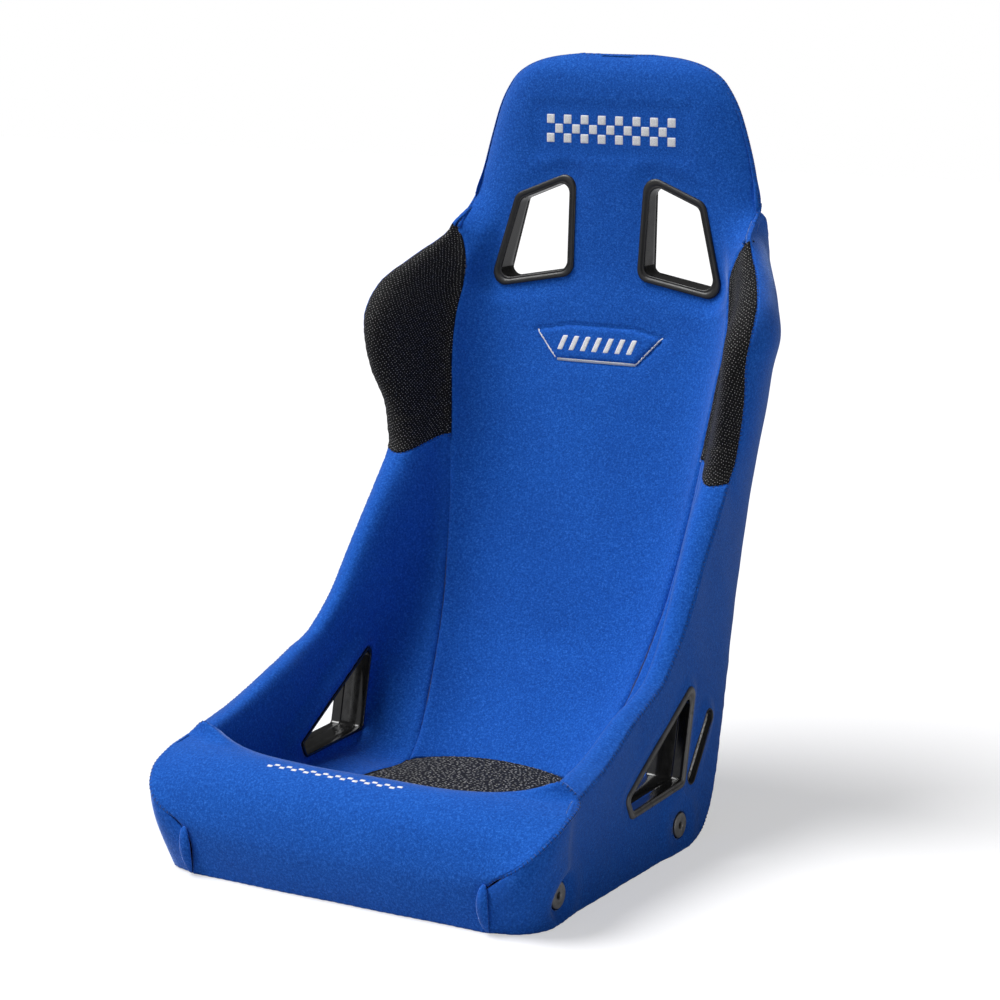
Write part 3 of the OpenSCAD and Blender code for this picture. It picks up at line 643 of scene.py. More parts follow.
# Inner sections, four control points each: RISE is the way from crease to crest without its x, FAT thins the last
# four sections to nothing, DEEP is how far out the lower control point goes, and ACROSS how far in the upper one.
RISE = unit(np.stack([FLAT, CREST[:, 1] - CREASE[:, 1], CREST[:, 2] - CREASE[:, 2]], -1).astype(float))
FAT = np.minimum(1, (LAST - ROWS) / 4)[:, None]
DEEP = np.where(ROWS < 5, 1.1, lerp(1.1, 0.35, np.minimum(1, (ROWS - 4) / 4)))
ACROSS = np.stack([lerp(80, 45, np.minimum(1, ROWS / 9)), FLAT, FLAT], -1)
INNER = np.stack([CREASE, CREASE + np.stack([DEEP * (CREST[:, 0] - CREASE[:, 0]), FLAT, FLAT], -1),
                  CREST + FAT * (45 * RISE - ACROSS), CREST], 1)

# Outer sections: WING bulges them round the widest section, TAIL rounds them into the back higher up. Before them come
# the front corner's sections, and after them the tip's, nearly straight.
WIDEST = 14
WING = np.maximum(0, 1 - np.abs(ROWS - WIDEST) / 4)
TAIL = np.clip((ROWS - 6) / 6, 0, 1)
SPAN = REAR - CREST
OUTER_UPPER = np.stack([lerp(-3, 38, WING), lerp(0.15, 0.3, WING) * SPAN[:, 1], 0.3 * SPAN[:, 2]], -1)
OUTER_LOWER = np.stack([lerp(-4, 34, TAIL) * FAT[:, 0], -lerp(0, 0.3, TAIL) * SPAN[:, 1],
                        -lerp(0.35, 0.2, TAIL) * SPAN[:, 2]], -1)
OUTER = np.stack([CREST, CREST + OUTER_UPPER, REAR + OUTER_LOWER, REAR], 1)
CORNER_UPPER = np.stack([[1, 3, 3, 1], [-3, -3, -1, 0], [-16, -26, -34, -40]], -1)
CORNER_LOWER = np.stack([[3, 8, 7, 3], [-7, -8, -5, -1], [18, 30, 38, 42]], -1)
CORNER_OUTER = np.stack([CORNER[:, 0], CORNER[:, 0] + CORNER_UPPER, CORNER[:, 1] + CORNER_LOWER, CORNER[:, 1]], 1)
TIP_SWELL = np.array([1.2, 0, 0])
TIP_OUTER = np.stack([TIP[:, 0], lerp(TIP[:, 0], TIP[:, 1], 0.33) + TIP_SWELL,
                      lerp(TIP[:, 0], TIP[:, 1], 0.67) + TIP_SWELL, TIP[:, 1]], 1)
SIDE = np.concatenate([CORNER_OUTER, OUTER, TIP_OUTER])
CORNERS = len(CORNER)


def bolster_inner(s, t):
    """Inner face: cubic sections from the crease, out and up, and over a round top to the crest's seam."""
    S, T = np.meshgrid(s, t, indexing="ij")
    return bezier(smooth(INNER, S), T)


def bolster_outer(s, t):
    """Outer face from the crest's seam to the lower or rear edge; s below 0 goes round the front corner to the dart."""
    S, T = np.meshgrid(np.asarray(s) + CORNERS, t, indexing="ij")
    return bezier(smooth(SIDE, S), T)


FRONT_EDGE = np.concatenate([CREASE[BACK_FROM:], HEAD_EDGE])
REAR_EDGE = np.concatenate([REAR[REAR_FROM:], HEAD_EDGE])


def front_face(v, u):
    """Front of back and head: across each height from the spine to the edge by a power of u, so that low down it is
    a shallow bowl and at the head a flat face with round sides."""
    V, U = np.meshgrid(v, u, indexing="ij")
    e = smooth(FRONT_EDGE, V)
    middle = y_at(SPINE, e[..., 2])
    power = lerp(3, 8, np.minimum(1, e[..., 2] / 600))
    return np.stack([U * e[..., 0], lerp(middle, e[..., 1], np.abs(U)**power), e[..., 2]], -1)


def rear_face(v, u):
    """Rear of the shell, made as the front is, nearly flat across."""
    V, U = np.meshgrid(v, u, indexing="ij")
    e = smooth(REAR_EDGE, V)
    middle = y_at(REAR_SPINE, e[..., 2])
    return np.stack([U * e[..., 0], lerp(middle, e[..., 1], np.abs(U)**6), e[..., 2]], -1)


def roll_face(j, u):
    """Front roll: its middle profile, blended into its ends by the fourth power of u."""
    J, U = np.meshgrid(j, u, indexing="ij")
    m, e = smooth(ROLL, J), smooth(ROLL_END, J)
    w = U**4
    return np.stack([U * e[..., 0], lerp(m[..., 0], e[..., 1], w), lerp(m[..., 1], e[..., 2], w)], -1)


def cushion_face(s, u):
    """Cushion between the creases, crowned by the fourth power of u, its back edge bowed to the rear."""
    S, U = np.meshgrid(s, u, indexing="ij")
    e = smooth(CREASE[:BACK_FROM + 1], S)
    bow = np.interp(e[..., 1], [-50, 11], [0, 33])
    return np.stack([U * e[..., 0], lerp(e[..., 1] + bow, e[..., 1], U**2),
                     e[..., 2] + CUSHION_CROWN * (1 - U**4)], -1)


# ---------------------------------------------------------------- belt openings

HARNESS_Z = 690
HARNESS_Y = float(y_at(SPINE, HARNESS_Z))
HARNESS_SLOPE = math.tan(math.atan2(float(y_at(SPINE, 695) - y_at(SPINE, 685)), 10) + math.radians(2))
HARNESS_REAR_Y = float(y_at(REAR_SPINE, HARNESS_Z))
HARNESS_RIM = outline(HARNESS, HARNESS_R + FLANGE_W / 2)
REAR_RIM = outline(HARNESS, HARNESS_R + FLANGE_W / 2, REAR_GROW)
LAP_RIM = outline(LAP, LAP_R + FLANGE_W / 2)


def harness_plane(z):
    """y of the flat that the front bezels stand on: the spine's slope at their middle and 2 degrees more."""
    return HARNESS_Y + (z - HARNESS_Z) * HARNESS_SLOPE


def stadium(grow, k=12):
    """Outline of the belt slot in (y, z), grown all round."""
    a = np.linspace(-math.pi / 2, math.pi / 2, k)
    r, h = SLOT_W / 2 + grow, (SLOT_L - SLOT_W) / 2
    right = np.stack([h + r * np.cos(a), r * np.sin(a)], -1)
    p = np.concatenate([right, -right])
    c, s = math.cos(SLOT_TILT), math.sin(SLOT_TILT)
    return SLOT_MID + p @ np.array([[c, s], [-s, c]])


def circle(middle, r, k=40):
    """k points evenly round a middle at distance r."""
    a = np.linspace(0, 2 * math.pi, k, endpoint=False)
    return np.asarray(middle, float) + r * np.stack([np.cos(a), np.sin(a)], -1)


def near(d, width):
    """1 at an outline, falling smoothly to 0 at width away from it."""
    x = np.clip(1 - d / width, 0, 1)
    return x * x * (3 - 2 * x)


# ---------------------------------------------------------------- covers

# The badge's outline, and the field for the mark on the head, both (x, z) on the front.
BADGE = np.array([[-91, 566], [-57, 530], [57, 530], [91, 566], [44, 575], [-44, 575]], float)
HEAD_FIELD = np.array([[-104, 790], [104, 790], [104, 843], [-104, 843]], float)


def crown_lean(P, forward):
    """Turns normals up at the ends of the head's flat top, where the side edge and the top edge run together."""
    away = np.hypot(np.abs(P[..., 0]) - 48, P[..., 2] - TOP_Z)
    turn = np.stack([0.12 * np.sign(P[..., 0]), np.full(P.shape[:2], 0.35 * forward), np.ones(P.shape[:2])], -1)
    return near(away, 34), unit(turn)


def make_front():
    """Front cover: pressed flat round the belt openings and a little under the head's mark, with a groove round the
    badge's filled field and a shallow dip low in the back."""
    P = front_face(marks(0, len(FRONT_EDGE) - 1, 250, 0.06), marks(-1, 1, 96, 0.03))
    x, z = P[..., 0], P[..., 2]
    held = near(distance_to(HARNESS_RIM, np.stack([np.abs(x), z], -1)), 26)
    P[..., 1] = lerp(P[..., 1], harness_plane(z) + 0.6, held)
    flat = np.stack([x, z], -1)
    b = distance_to(BADGE, flat)
    groove = 1.2 * np.clip(-b / 6, 0, 1) - 3.4 * np.exp(-(b / 1.9)**2) - 0.8 * np.exp(-((b - 6) / 7.0)**2) * (b > 0)
    dip = -4.0 * np.exp(-((x - 8) / 60)**2 - ((z - 205) / 34)**2)
    mark = -1.6 * near(distance_to(HEAD_FIELD, flat), 16)
    hole = outline(HARNESS, HARNESS_R, 3 - FLANGE_W)
    cuts = [(hole * [k, 1], "y", THROUGH_FRONT) for k in (1, -1)]
    o = panel("front_cover", P, -1, BLUE, "blue_fabric", ("front_cover", "back_foam", "head_foam"),
              lift=groove + dip + mark, rolls=(3, 2.5, 8, 8), cuts=cuts, waves=0.7, lean=crown_lean(P, -1))
    return o


FRONT_COVER = make_front()


def through(k):
    """x from and to for a cut through the left side, or the right where k is -1."""
    return [k * x for x in THROUGH_SIDE]


def make_bolster(label, k):
    """Blue inner face of a bolster from the roll to the insert's lower seam, drawn in round the lap opening."""
    P = bolster_inner(marks(0, INSERT_FROM, 130, 0.07), marks(0, 1, 62, 0.035)) * [k, 1, 1]
    hole = outline(LAP, LAP_R, SLEEVE_T + 0.6 - FLANGE_W)
    d = distance_to(hole, P[..., 1:])
    t = np.linspace(0, 1, P.shape[1])[None, :]
    held = near(d - 1, 26) * np.clip((t - 0.04) / 0.14, 0, 1)
    P[..., 0] = lerp(P[..., 0], k * (INNER_X + 0.8), held)
    draw = -2.0 * rolled(np.clip(d, 0, 5), 5) / 5
    o = panel(f"bolster_cover_{label}", P, -k, BLUE, "blue_fabric",
              (f"bolster_cover_{label}", f"bolster_foam_{label}"), lift=draw,
              cuts=[(hole, "x", through(k))], thick=5, rolls=(3.5, 3.5, 8, 3.5))


both(make_bolster)


def make_insert(label, k):
    """Black shoulder insert over the wing, from the slanted seam to the tip beside the head, with a few folds low
    down where the cloth is taken in."""
    P = bolster_inner(marks(INSERT_FROM, LAST, 130, 0.07), marks(0, 1, 62, 0.035)) * [k, 1, 1]
    along = run(P, 0)[0]
    t = np.linspace(0, 1, P.shape[1])[None, :]
    fold = (0.9 * np.exp(-((along - 26 - 18 * t) / 5)**2) - 1.3 * np.exp(-((along - 33 - 20 * t) / 4)**2)) \
        * np.exp(-((t - 0.62) / 0.28)**2)
    o = panel(f"shoulder_insert_{label}", P, -k, GRIP, "insert_fabric", (f"shoulder_insert_{label}",),
              lift=fold + 0.4, waves=0.9)


both(make_insert)


def make_side(label, k):
    """Blue outer side with the lap opening, the belt slot and two round holes for the bosses: the cloth is drawn to
    the flat outer side round each, by an amount that falls smoothly with the distance, and swells round a boss."""
    s = marks(-CORNERS, LAST + len(TIP), 260, 0.07)
    P = bolster_outer(s, marks(0, 1, 70, 0.03)) * [k, 1, 1]
    q = P[..., 1:]
    front_part, low_part = P[..., 1] < 90, P[..., 2] < 200
    P[..., 0] = lerp(P[..., 0], k * (SIDE_X - 1.4), near(distance_to(LAP_RIM, q), 16) * front_part)
    P[..., 0] = lerp(P[..., 0], k * (SIDE_X - 4.5), near(distance_to(stadium(0), q), 20) * low_part)
    swell = np.repeat(-2.0 * np.clip((s - LAST) / len(TIP), 0, 1)[:, None], P.shape[1], 1)
    cuts = [(outline(LAP, LAP_R, 3 - FLANGE_W), "x", through(k)), (stadium(0.4), "x", through(k))]
    for y, z in BOLTS:
        away = np.hypot(q[..., 0] - y, q[..., 1] - z)
        P[..., 0] = lerp(P[..., 0], k * (SIDE_X - 1.8), near(away - 17, 15))
        swell = swell + 2.2 * np.exp(-((away - 36) / 13)**2)
        cuts.append((circle((y, z), BOLT_HOLE_R), "x", through(k)))
    near_tip = np.repeat(np.clip((s - LAST + 1) / 1.5, 0, 1)[:, None], P.shape[1], 1)
    o = panel(f"side_cover_{label}", P, -k, BLUE, "blue_fabric", (f"side_cover_{label}",), lift=swell,
              rolls=(3, 1, 3.5, 3), cuts=cuts, waves=0.9, lean=(near_tip, unit(np.array([k, 0, 0.15]))))


both(make_side)


# Height of the rear cover's cross seam, and how far its upright seams are from the middle.
REAR_SEAM_Z = 560
REAR_SEAM_X = 96


def make_rear():
    """Rear cover: flat round the belt openings, with a cross seam and two upright seams below it, sunk as narrow
    bell-shaped grooves."""
    P = rear_face(marks(0, len(REAR_EDGE) - 1, 200, 0.06), marks(-1, 1, 84, 0.03))
    x, z = np.abs(P[..., 0]), P[..., 2]
    d = distance_to(REAR_RIM, np.stack([x, z], -1))
    P[..., 1] = lerp(P[..., 1], HARNESS_REAR_Y - FLANGE_T - 0.4, near(d, 18))
    seam = np.exp(-((z - REAR_SEAM_Z) / 2.2)**2) * -2.4 + np.exp(-((x - REAR_SEAM_X) / 2.2)**2) * -2.4 \
        * (z < REAR_SEAM_Z)
    hole = outline(HARNESS, HARNESS_R, 3 - FLANGE_W + REAR_GROW)
    cuts = [(hole * [k, 1], "y", THROUGH_REAR) for k in (1, -1)]
    o = panel("rear_cover", P, 1, BLUE, "blue_fabric", ("rear_cover",), lift=seam, rolls=(3, 2.5, 3, 3), cuts=cuts,
              waves=1.0, lean=crown_lean(P, 1))


make_rear()


def make_roll():
    """Front roll's cover, from the cushion's front edge over the top and down to the floor."""
    P = roll_face(marks(0, len(ROLL) - 1, 90, 0.12), marks(-1, 1, 150, 0.03))
    o = panel("front_roll_cover", P, 1, BLUE, "blue_fabric", ("front_roll_cover", "front_roll_foam"),
              rolls=(3, 2, 3.5, 3.5), waves=1.0, thick=5)
    return o


ROLL_COVER = make_roll()


def make_cushion():
    """Cushion with deeply rolled edges, so that it sits in between the bolsters as a crowned pad."""
    P = cushion_face(marks(0, BACK_FROM, 60, 0.07), marks(-1, 1, 70, 0.03))
    o = panel("cushion_cover", P, -1, PEPPER, "cushion_weave", ("cushion_cover", "cushion_foam"), thick=12,
              rolls=(6, 7, 7, 7), waves=0.8)


make_cushion()

# ---------------------------------------------------------------- seams


def edge_line(P, side, axis, end):
    """A grid's first (0) or last (-1) row or column and the normals there."""
    N = facing(P, side)
    return np.take(P, end, axis), np.take(N, end, axis)


# Stitches along a seam: from one to the next, the thread's radius, and half a stitch's width.
STITCH_PITCH = 5.5
STITCH_R = 0.42
STITCH_HALF = 2.6
# A stitch's five points: share of its half width across the seam, and depth under the cloth's surface.
STITCH = ((-1, 2.6), (-0.55, 1.3), (0, 1.0), (0.55, 1.3), (1, 2.6))


def tape(name, path, normals, material, slot, depth=3.6, radius=2.6, thread=None):
    """A seam's folded allowance: a cord sunk under the meeting edges, with short stitches over it across the seam."""
    path, normals = np.asarray(path, float), unit(np.asarray(normals, float))
    length = np.concatenate([[0], np.cumsum(np.linalg.norm(np.diff(path, axis=0), axis=1))])

    def along(values, at):
        """Rows of values at distances along the path."""
        return np.stack([np.interp(at, length, values[:, c]) for c in range(3)], -1)

    at = np.linspace(0, length[-1], max(8, int(length[-1] / 4)))
    piece(name, *cordage(along(path, at) - depth * unit(along(normals, at)), radius, 8), material, slot)
    if thread:
        at = (np.arange(int(length[-1] / STITCH_PITCH)) + 0.5) * STITCH_PITCH
        middles, ups = along(path, at), unit(along(normals, at))
        acrosses = unit(np.cross(unit(along(np.gradient(path, axis=0), at)), ups))
        stitches = []
        for middle, up, across in zip(middles, ups, acrosses):
            bend = np.stack([middle + w * STITCH_HALF * across - deep * up for w, deep in STITCH])
            stitches.append(cordage(bend, STITCH_R, 5))
        piece(name + "_thread", *gather(stitches), thread, slot)


def seams(label, k):
    """Tapes and stitches along the seams of one side."""
    flip = np.array([k, 1, 1])
    s = np.linspace(0, LAST, 260)
    inner = bolster_inner(s, np.linspace(0, 1, 40)) * flip
    outer = bolster_outer(s, np.linspace(0, 1, 40)) * flip
    crest, a = edge_line(inner[s < LAST - 0.6], -k, 1, -1)
    b = edge_line(outer[s < LAST - 0.6], -k, 1, 0)[1]
    tape(f"crest_seam_{label}", crest, a + b, BLUE, "blue_fabric", thread=NAVY_THREAD)
    face = rear_face(np.linspace(0, LAST - REAR_FROM + 0.6, 200), np.linspace(-1, 1, 61) * k)
    edge, c = edge_line(face, k, 1, -1)
    tape(f"rear_seam_{label}", edge[3:], c[3:] + flip * [1, 0, 0], BLUE, "blue_fabric", depth=4.2, thread=NAVY_THREAD)
    crease = inner[s > BACK_FROM - 0.02][:, 0]
    na = facing(inner, -k)[s > BACK_FROM - 0.02][:, 0]
    tape(f"back_seam_{label}", crease, na + [0, -1.2, 0], NAVY_THREAD, "blue_fabric", depth=7.0, radius=3.0)
    low = inner[s < BACK_FROM + 0.02][:, 0]
    tape(f"cushion_seam_{label}", low, np.tile([-0.5 * k, 0, 1], (len(low), 1)), GRIP, "insert_fabric", depth=4.5,
         radius=3.6)
    across = bolster_inner(np.linspace(INSERT_FROM - 0.4, INSERT_FROM + 0.4, 5), np.linspace(0, 1, 60)) * flip
    tape(f"insert_seam_{label}", across[2], facing(across, -k)[2], BLUE, "blue_fabric", depth=3.4, thread=BLACK_THREAD)
    j = np.linspace(0, 7, 140)
    roll = roll_face(j, np.linspace(0.8, 1, 12)) * flip
    end, n = edge_line(roll, k, 1, -1)
    tape(f"roll_seam_{label}", end, n + flip * [0.35, 0.1, 0.25], BLUE, "blue_fabric", thread=NAVY_THREAD)
    tip_front = front_face(np.linspace(15, 16.2, 20), np.array([0.96, 0.98, 1.0]))[:, -1] * flip
    tape(f"tip_seam_{label}", tip_front, np.tile(unit(flip * [0.9, -0.5, 0.2]), (len(tip_front), 1)), BLUE,
         "blue_fabric", depth=3.2, thread=NAVY_THREAD)


both(seams)


def make_head_seam():
    """The seam over the head, where front and rear covers meet."""
    v = np.linspace(16, len(FRONT_EDGE) - 1, 120)
    e = smooth(FRONT_EDGE, v)
    top = np.stack([np.linspace(e[-1, 0], -e[-1, 0], 40), np.full(40, e[-1, 1]), np.full(40, e[-1, 2])], -1)
    path = np.concatenate([e, top[1:-1], mirrored(e)[::-1]])
    middle = np.array([0, TOP_Y, 800.0])
    tape("head_seam", path, path - middle, BLUE, "blue_fabric", depth=3.4, thread=NAVY_THREAD)


make_head_seam()


# The left dart's middle line, four control points from its top to the floor.
TUCK_PATH = np.array([[199, -341.5, 60], [197, -346, 42], [197, -342, 18], [198, -331.5, 1.5]], float)


def make_tuck(label, k):
    """The dart in the front corner: a leaf of cloth folded over the end of the seam, from its tip to the floor. Its
    rings are ovals along a cubic curve, widest and deepest a little above the middle and closed at both ends."""
    w, a = np.meshgrid(np.linspace(0, 1, 46), np.linspace(0, 2 * math.pi, 26, endpoint=False), indexing="ij")
    path = bezier(np.repeat(TUCK_PATH[None], len(w), 0), w[:, 0])
    half = 6.8 * np.sin(math.pi * w**0.8)**0.62 + 0.25
    deep = 3.6 * np.sin(math.pi * w**0.75)**0.7 + 0.25
    lean = 0.35 * np.sin(a) * np.cos(a)
    P = path[:, None] + np.stack([half * (np.cos(a) + lean * 0.5), -deep * np.sin(a), 0 * a], -1)
    P = P * [k, 1, 1]
    o = piece(f"corner_tuck_{label}", P.reshape(-1, 3), capped(*a.shape), BLUE, "blue_fabric")


both(make_tuck)

# ---------------------------------------------------------------- moulded rims and turned bosses

# Round a rim: distance out from the opening, height over the cover, and share of the way to the sleeve's end.
RIM_PROFILE = [(0.0, -6.0, 0.6), (0.0, -3.0, 0), (0.0, -0.6, 0), (0.25, 0.5, 0), (0.9, 1.15, 0), (1.7, 1.2, 0),
               (2.3, 0.75, 0), (2.7, 0.7, 0), (3.3, 1.3, 0), (4.4, 2.2, 0), (5.8, 2.6, 0), (7.2, 2.5, 0), (8.4, 2.0, 0),
               (9.2, 1.1, 0), (9.5, 0.1, 0), (9.35, -0.6, 0), (8.6, -0.9, 0), (3.2, -0.9, 0), (2.5, -1.6, 0),
               (2.5, -6.0, 0.6), (2.5, -6.0, 1), (1.9, -6.0, 1.02), (0.6, -6.0, 1.02), (0.0, -6.0, 0.98)]
# The same with a ledge at the sleeve's end that reaches in to the other bezel's sleeve.
LEDGED_PROFILE = RIM_PROFILE[:20] + [(2.5, -6.0, 1), (1.9, -6.0, 1.02), (-10.0, -6.0, 1.02), (-10.2, -6.0, 0.98),
                                     (-10.0, -6.0, 0.9), (-0.4, -6.0, 0.9), (0.0, -6.0, 0.87)]
# The profile's steps that are the rim's face. The others are the sleeve.
RIM_FACE = (3, 17)


def rim_line(points, radius, out, grow=0):
    """The opening's outline at a distance out from it, its corners rounder outwards."""
    return outline(points, radius + 0.5 * out, out - FLANGE_W + grow, 9, 5)


def moulding(name, P, material):
    """A plastic ring that stands for the CAD node of its own name: the grid P closed both ways."""
    return piece(name, P.reshape(-1, 3), quads(*P.shape[:2], 0, True, True), material, "bezel_plastic", (name,))


def make_rim(name, points, radius, place, rim, grow=0, profile=RIM_PROFILE):
    """A moulded frame: a profile carried round the opening. place turns an outline point, a height over the cover and
    a share of the way to the sleeve's end into a point."""
    P = np.stack([place(rim_line(points, radius, out, grow), h, w) for out, h, w in profile])
    m, n = P.shape[:2]
    o = moulding(name, P, rim)
    o.data.materials.append(GLOSS)
    rows = np.repeat(np.arange(m), n)
    index = np.where((rows >= RIM_FACE[0]) & (rows < RIM_FACE[1]), 0, 1)
    o.data.polygons.foreach_set("material_index", index[:len(o.data.polygons)].tolist())


MIDDLE_Y = (HARNESS_Y + HARNESS_REAR_Y) / 2


def make_harness_rims(label, k):
    """Front and rear rims of a shoulder belt opening, whose sleeves meet half way through the back."""
    def front(p, h, w):
        y = harness_plane(p[:, 1]) - h
        return np.stack([k * p[:, 0], lerp(y, MIDDLE_Y + 1, w), p[:, 1]], -1)

    def rear(p, h, w):
        y = np.full(len(p), HARNESS_REAR_Y - FLANGE_T + h)
        return np.stack([k * p[:, 0], lerp(y, MIDDLE_Y + 1.2, w), p[:, 1]], -1)

    make_rim(f"harness_bezel_front_{label}", HARNESS, HARNESS_R, front, PLASTIC)
    make_rim(f"harness_bezel_rear_{label}", HARNESS, HARNESS_R, rear, PLASTIC, REAR_GROW, LEDGED_PROFILE)


both(make_harness_rims)


# Where the lap opening's outer and inner sleeves meet, and the inner lip: distance out, and depth past its face.
LAP_JOINT_X = SIDE_X - 15
LAP_LIP = [(0, 1.4), (0.3, 0.3), (1.0, -0.5), (2.0, -0.7), (3.2, -0.2), (3.6, 0.8), (3.0, 1.6), (2.5, 2.6)]


def at_x(x, p):
    """The (y, z) points p at one x, or at an x each."""
    return np.stack([np.broadcast_to(x, len(p)), p[:, 0], p[:, 1]], -1)


def make_lap_rims(label, k):
    """Outer rim of a lap belt opening on the flat side, and the inner sleeve, which ends in a thin rolled lip."""
    def outer(p, h, w):
        return at_x(k * lerp(SIDE_X - 1.0 + h, LAP_JOINT_X, w), p)

    make_rim(f"lap_bezel_outer_{label}", LAP, LAP_R, outer, SATIN)
    profile = [(0, LAP_JOINT_X)] + [(out, INNER_X + deep) for out, deep in LAP_LIP] + [(2.5, LAP_JOINT_X)]
    P = np.stack([at_x(k * x, rim_line(LAP, LAP_R, out)) for out, x in profile])
    moulding(f"lap_bezel_inner_{label}", P, GLOSS)


both(make_lap_rims)


# The belt slot's liner: distance out from the slot, and depth under the flat side.
LINER = [(0, 27), (0, 6), (0.3, 4.2), (1.1, 3.5), (2.2, 3.6), (2.9, 4.6), (2.6, 6), (1.6, 7), (1.5, 27)]


def make_slot(label, k):
    """Liner of the belt slot with a soft rolled lip, and the bonded foam seen at its bottom, crumbly by a product of
    two sines."""
    moulding(f"slot_liner_{label}", np.stack([at_x(k * (SIDE_X - deep), stadium(out)) for out, deep in LINER]), PLASTIC)
    rings = []
    for share in np.linspace(1, 0.04, 14):
        p = SLOT_MID + (stadium(-0.1, 24) - SLOT_MID) * share
        x = SIDE_X - 9 - 1.5 * share**2 + 0.5 * np.sin(p[:, 0] * 0.9) * np.sin(p[:, 1] * 1.1 + 0.7)
        rings.append(at_x(k * x, p))
    back = rings[0] - [k * 5.0, 0, 0]
    P = np.stack([back] + rings)
    piece(f"slot_foam_{label}", P.reshape(-1, 3), capped(*P.shape[:2]), FOAM, "foam")


both(make_slot)


# A boss's section as (radius, height over the flat side): its M8 thread's roots and crests, then the rest of it.
PITCH = 1.25
BOSS = [point for n in range(11) for point in ((3.42, -14.6 + n * PITCH), (4.0, -14.6 + (n + 0.5) * PITCH))] + [
    (4.0, -0.75), (4.7, -0.05), (5.0, 0.05), (8.0, 0.0), (13.6, 0.0), (14.4, -0.2), (14.9, -0.7), (15.0, -1.4),
    (15.0, -2.4), (14.7, -2.9), (14.0, -3.0), (10.4, -3.0), (10.0, -3.4), (10.0, -14.4), (9.5, -15.0), (4.2, -15.0)]


def make_bosses(label, k):
    """Flanged bosses turned about the bolt axis: chamfered flange, shank, and a threaded bore."""
    parts = []
    for middle in BOLTS:
        P = np.stack([at_x(k * (SIDE_X + h), circle(middle, r, 56)) for r, h in BOSS])
        parts.append((P.reshape(-1, 3), quads(*P.shape[:2], 0, True, True).tolist()))
    piece(f"mount_bosses_{label}", *gather(parts), STEEL, "boss_metal", (f"mount_bosses_{label}",))


both(make_bosses)


# y of the base cloth's front and rear edges.
BASE_FRONT = -330
BASE_REAR = 54


def make_base():
    """Base cloth: a sheet across the bottom edges, drawn upwards between them by up to 2.2 mm, flat at the sides by
    the sixth power of u and at the front and rear along 30 mm."""
    foot = np.concatenate([CORNER[:, 1], REAR[:REAR_FROM + 1]])
    y = marks(BASE_FRONT, BASE_REAR, 60, 4)
    half = np.interp(y, foot[:, 1], foot[:, 0]) - 4
    Y, U = np.meshgrid(y, np.linspace(-1, 1, 70), indexing="ij")
    z = 2.6 + 2.2 * (1 - U**6) * np.clip((Y - BASE_FRONT) / 30, 0, 1) * np.clip((BASE_REAR - Y) / 30, 0, 1)
    P = np.stack([U * half[:, None], Y, z + 0.35 * ripple(np.stack([Y, U * half[:, None], z], -1), 60)], -1)
    o = panel("base_cloth", P, -1, BASE, "base_cloth", ("base_cloth",), thick=1.6, rolls=(0, 0, 0, 0), waves=0,
              puckers=0)


make_base()

# ---------------------------------------------------------------- embroidery


class Cloth:
    """Finds a cover's outer surface, so that sewn marks lie on it."""

    def __init__(self, cover):
        mesh = cover.data
        self.tree = BVHTree.FromPolygons([v.co.copy() for v in mesh.vertices],
                                         [tuple(p.vertices) for p in mesh.polygons])

    def under(self, points, ray):
        """Where rays from each point in direction ray meet the cloth, in millimetres, and its normals there."""
        hits, normals = [], []
        for p in points.reshape(-1, 3):
            at, n, _, _ = self.tree.ray_cast(Vector(p * MM), Vector(ray))
            hits.append(np.array(at) / MM if at else p)
            n = np.array(n) if at else -np.array(ray)
            normals.append(n if n @ np.array(ray) < 0 else -n)
        return np.array(hits).reshape(points.shape), np.array(normals).reshape(points.shape)


def satin(cloth, corners, ray, height=1.0, ridges=9, n=13):
    """Satin stitch over a four-cornered field: a low pillow with thread ridges across it, on the cloth."""
    a, b = np.meshgrid(np.linspace(0, 1, n), np.linspace(0, 1, 2 * ridges + 1), indexing="ij")
    c = np.asarray(corners, float)
    flat = ((1 - a) * (1 - b))[..., None] * c[0] + (a * (1 - b))[..., None] * c[1] + (a * b)[..., None] * c[2] \
        + ((1 - a) * b)[..., None] * c[3]
    on, up = cloth.under(flat, ray)
    pillow = (1 - np.abs(2 * a - 1)**4) * (1 - np.abs(2 * b - 1)**6)
    h = height * pillow**0.5 + 0.10 * np.cos(2 * math.pi * ridges * b) * pillow - 0.3
    top = on + up * h[..., None]
    verts, faces = shell(top, on - up * 0.8)
    return verts, faces.tolist()


def field(x, v, wide, high):
    """Corners of an upright rectangle from its lowest x and v."""
    return [(x, v), (x + wide, v), (x + wide, v + high), (x, v + high)]


def band(start, end, wide):
    """Corners of a straight line of that width."""
    start, end = np.array(start), np.array(end)
    d = unit(end - start)
    n = np.array([-d[1], d[0]]) * wide / 2
    return [start - n, start + n, end + n, end - n]


# The ways in which marks are pressed on to the cloth, from a plane in front of it or above it.
AHEAD = (0, 1, 0)
DOWN = tuple(unit(np.array([0, 0.45, -1.0])))
BEFORE_FRONT = 150
ABOVE_ROLL = 220
# A square of the head's chequer, and the line round the badge's lower half with the width of each stretch.
CELL = 11.8
BADGE_LINE = [(-89, 566.5), (-56.5, 531.5), (56.5, 531.5), (89, 566.5)]
BADGE_LINE_W = (2.0, 3.8, 2.0)


